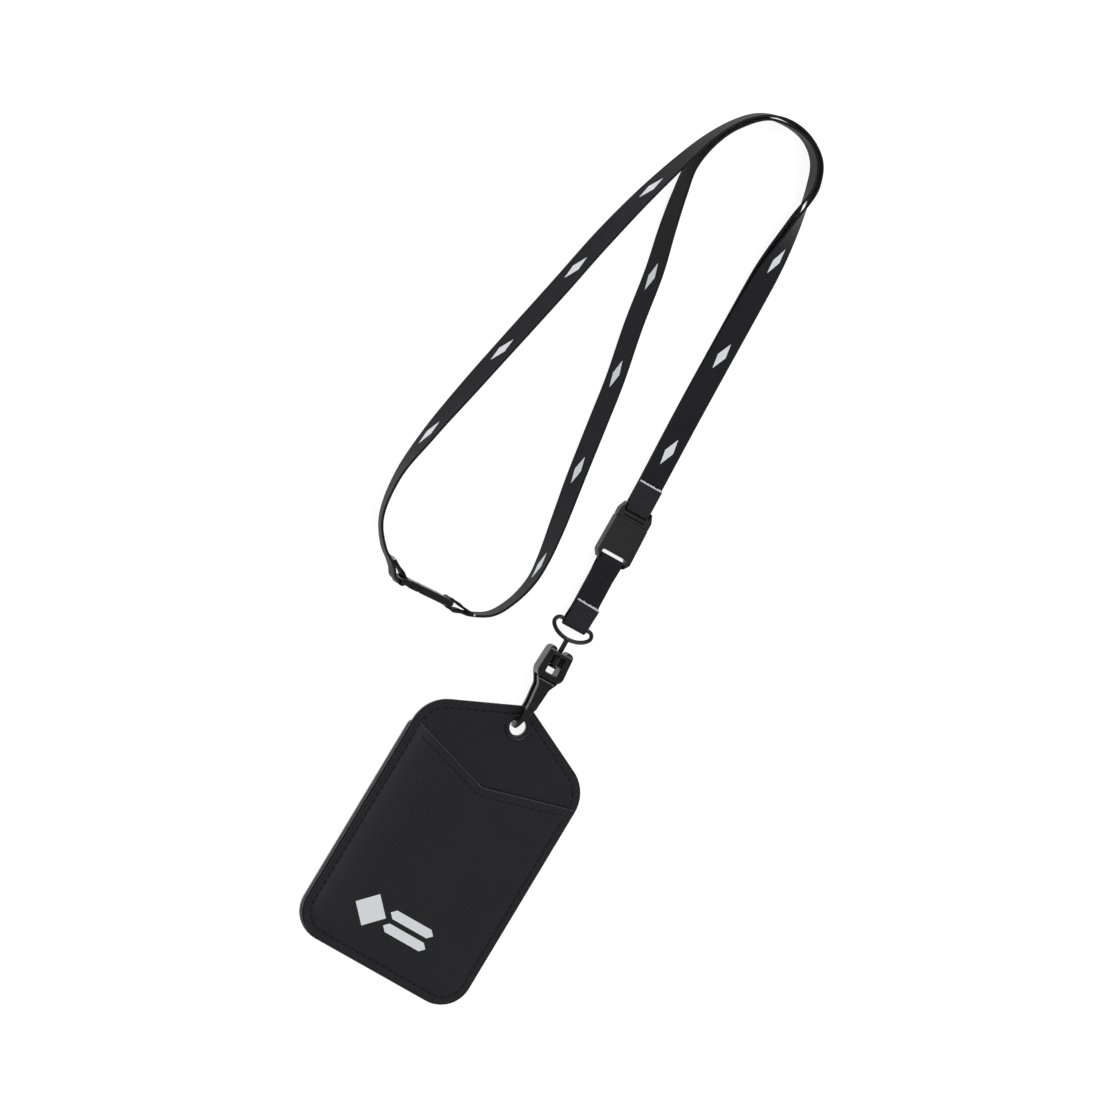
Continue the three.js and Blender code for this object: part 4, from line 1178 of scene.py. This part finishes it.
def make_seams():
    panel_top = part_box("main_panel")[1].z / MM
    pocket_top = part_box("front_pocket")[1].z / MM
    seam = [(x, y) for x, y, _ in outline(inset(tag_corners(), STITCH_INSET), 10, 22)]
    corners = pocket_corners()
    mouth_height = corners[2][1]

    def mouth_at(x):
        return mouth_height - NOTCH_DEPTH + NOTCH_DEPTH * abs(x) / HALF_WIDTH

    top_part = [p for p in seam if p[1] > mouth_at(p[0]) + 0.6]
    side_part = [p for p in seam if p[1] <= mouth_at(p[0]) + 0.2]
    split = next(i for i, p in enumerate(side_part) if p[0] > 0 and p[1] > mouth_height - 6) + 1
    first_left = next(i for i in range(split, len(side_part)) if side_part[i][0] < 0)
    side_part = side_part[first_left:] + side_part[:first_left]

    stitch_row("roof_stitches", top_part, lambda x, y: panel_top + panel_relief(x, y, STITCH_INSET))
    stitch_row("perimeter_stitches", side_part,
               lambda x, y: pocket_top + pocket_relief(x, y, STITCH_INSET - POCKET_MARGIN, 0))
    hem = []
    for x, y, side in outline(inset(corners, HEM), 10, 30):
        if side in (2, 3) and abs(x) < HALF_WIDTH - 5:
            hem.append((x, y))
    mouth = [(x, y) for x, y, side in outline(inset(corners, 0.16), 10, 30)
             if side in (2, 3) and abs(x) < HALF_WIDTH - 1.2]
    # The mouth's rolled edge is drawn in the paler cloth: a painted highlight along the fold
    rolled_edge("pocket_mouth_highlight_edge", mouth, pocket_top + 0.24, 0.2, "hem")
    stitch_row("hem_stitches", hem, lambda x, y: pocket_top + pocket_relief(x, y, HEM, 1), thickness=0.4)


def rolled_edge(name, points, height, radius, material):
    """A thin round edge along a line of points (x, y) at a height."""
    verts = []
    for i, (x, y) in enumerate(points):
        ahead = Vector(points[min(i + 1, len(points) - 1)]) - Vector(points[max(i - 1, 0)])
        across = Vector((-ahead.y, ahead.x)).normalized()
        for s in range(8):
            angle = math.pi * s / 4
            reach = across * radius * math.cos(angle)
            verts.append((x + reach.x, y + reach.y, height + radius * math.sin(angle)))
    faces = rings_to_faces(0, 8, len(points)) + ends(0, 8, len(points))
    piece = make(name, HOLDER, verts, faces, material)
    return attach(piece, "holder")


def emblem_plate(x, y, half_width, half_height, cut, lift, verts, faces):
    """A flat print: a lozenge, or a bar with pointed ends where cut is less than half_width."""
    start = len(verts)
    steps = 10
    rows = []
    for i in range(steps + 1):
        v = -half_height + 2 * half_height * i / steps
        reach = half_width - cut * abs(v) / half_height
        rows.append((v, max(reach, 0.02)))
    columns = 16
    for top in (True, False):
        for v, reach in rows:
            for k in range(columns + 1):
                px = x + reach * (2 * k / columns - 1)
                py = y + v
                base = lift(px, py)
                verts.append((px, py, base + 0.05 if top else base - 0.08))
    width = columns + 1
    layer_size = width * len(rows)
    for i in range(steps):
        for k in range(columns):
            a = start + i * width + k
            faces.append((a, a + 1, a + 1 + width, a + width))
            b = a + layer_size
            faces.append((b, b + width, b + width + 1, b + 1))
    border = [start + k for k in range(width)]
    border += [start + i * width + columns for i in range(1, steps + 1)]
    border += [start + steps * width + k for k in range(columns - 1, -1, -1)]
    border += [start + i * width for i in range(steps - 1, 0, -1)]
    for i, a in enumerate(border):
        b = border[(i + 1) % len(border)]
        faces.append((a, a + layer_size, b + layer_size, b))


def make_emblem():
    """A plain geometric print: a lozenge beside two bars with pointed ends."""
    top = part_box("front_pocket")[1].z / MM

    def lift(x, y):
        return top + pocket_relief(x, y, 15, 0)

    verts = []
    faces = []
    middle = (-3, 20)
    emblem_plate(middle[0] - 10.5, middle[1], 7, 7, 7, lift, verts, faces)
    emblem_plate(middle[0] + 6.8, middle[1] + 2.9, 9.8, 1.9, 1.9, lift, verts, faces)
    emblem_plate(middle[0] + 6.8, middle[1] - 2.9, 9.8, 1.9, 1.9, lift, verts, faces)
    piece = make("pocket_emblem", HOLDER, verts, faces, "ink")
    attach(piece, "holder")


def lathe(name, profile, centre, segments, material):
    """A ring turned about a vertical axis, from its closed (radius, height) section."""
    verts = []
    for i in range(segments):
        a = 2 * math.pi * i / segments
        verts += [(centre[0] + r * math.cos(a), centre[1] + r * math.sin(a), z) for r, z in profile]
    faces = rings_to_faces(0, len(profile), segments, closed=True)
    piece = make(name, HOLDER, verts, faces, material, sharp=50)
    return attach(piece, "holder")


def make_eyelet():
    bore = EYELET_BORE
    z0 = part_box("eyelet")[0].z / MM
    z1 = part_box("eyelet")[1].z / MM
    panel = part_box("main_panel")[1].z / MM
    flange = extent("eyelet", HOLDER)[1].x + 0.35
    section = [(bore, z0 + 0.15), (bore + 0.12, z0), (bore + 0.45, z0), (bore + 0.45, panel + 0.02)]
    section += [(flange - 0.12, panel + 0.02), (flange, panel + 0.14)]
    crest = (flange + bore) / 2 + 0.05
    half = (flange - bore) / 2
    for k in range(1, 12):
        a = math.pi * k / 12
        r = crest + half * math.cos(a)
        section.append((r, panel + 0.14 + (z1 - panel - 0.14) * math.sin(a) ** 0.8))
    section.append((bore, panel + 0.1))
    piece = lathe("eyelet_ring", section, (0, EYELET_Y), 72, "eyelet")
    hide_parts("eyelet")
    low_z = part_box("eyelet_washer")[0].z / MM
    high_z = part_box("eyelet_washer")[1].z / MM
    washer = [(bore + 0.6, low_z + 0.1), (bore + 0.7, low_z), (flange - 0.15, low_z)]
    washer += [(flange, low_z + 0.15), (flange, high_z - 0.05), (bore + 0.6, high_z - 0.05)]
    piece = lathe("eyelet_backing", washer, (0, EYELET_Y), 72, "eyelet")
    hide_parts("eyelet_washer")


def make_holder():
    def flat(x, y, d):
        return 0

    heights = {n: (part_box(n)[0].z / MM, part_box(n)[1].z / MM) for n in (
        "rear_frame", "rear_window", "side_gusset", "back_lining", "core_board", "main_panel")}
    z0, z1 = heights["main_panel"]
    panel = tag_sheet("panel_cloth", z0 + 0.01, z1, 0.2, panel_relief, "face", PANEL_HOLE)
    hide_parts("main_panel", "pocket_seam")
    z0, z1 = heights["core_board"]
    core = tag_sheet("core_edge", z0 + 0.01, z1 - 0.01, 0.12, flat, "foam", PANEL_HOLE)
    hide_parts("core_board")
    z0, z1 = heights["back_lining"]
    lining = tag_sheet("lining_cloth", z0 + 0.01, z1 - 0.01, 0.15, flat, "lining", PANEL_HOLE)
    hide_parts("back_lining")

    top = extent("rear_frame", HOLDER)[1].y
    rear_side = HALF_WIDTH + 0.2
    rear = [(-rear_side, -0.2, BOTTOM_RADIUS), (rear_side, -0.2, BOTTOM_RADIUS),
            (rear_side, top, TOP_CORNER), (-rear_side, top, TOP_CORNER)]
    inner = HALF_WIDTH - REAR_BORDER
    window_top = top - REAR_BORDER
    window = [(-inner, REAR_BORDER, 4), (inner, REAR_BORDER, 4),
              (inner, window_top, 4), (-inner, window_top, 4)]
    z0, z1 = heights["rear_frame"]
    back = layer("rear_cloth", rear, z0, z1 - 0.01, 0.25, "rear", hole=window)
    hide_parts("rear_frame")
    low, high = extent("rear_window", HOLDER)
    film = [(low.x, low.y, 2), (high.x, low.y, 2), (high.x, high.y, 2), (low.x, high.y, 2)]
    z0, z1 = heights["rear_window"]
    pane = layer("window_pane", film, z0, z1, 0.08, "film")
    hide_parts("rear_window")
    inside = HALF_WIDTH - GUSSET_WIDTH
    inner_radius = BOTTOM_RADIUS - GUSSET_WIDTH
    side = HALF_WIDTH + GUSSET_BULGE
    outer_radius = BOTTOM_RADIUS + GUSSET_BULGE
    strip = [
        (-side, -GUSSET_BULGE, outer_radius), (side, -GUSSET_BULGE, outer_radius), (side, top, TOP_CORNER),
        (inside, top, 0.3), (inside, GUSSET_WIDTH, inner_radius),
        (-inside, GUSSET_WIDTH, inner_radius), (-inside, top, 0.3), (-side, top, TOP_CORNER),
    ]
    z0, z1 = heights["side_gusset"]
    gusset = layer("gusset_foam", strip, z0 + 0.02, z1 - 0.01, 0.18, "foam")
    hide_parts("side_gusset")


# ------------------------------------------------------------------ the whole object
make_camera()
make_studio()
clasp_plug = moulded(
    "clasp_plug_moulding", "clasp_plug", CLASP, "clasp_end", "clasp", 0.12, 5)
clasp_socket = moulded(
    "clasp_socket_moulding", "clasp_socket", CLASP, "neck", "clasp", 0.12, 5)
make_outer_strap()
make_inner_strap()
make_short_strap()
make_fittings()
make_holder()
make_pocket()
make_seams()
make_emblem()
make_eyelet()
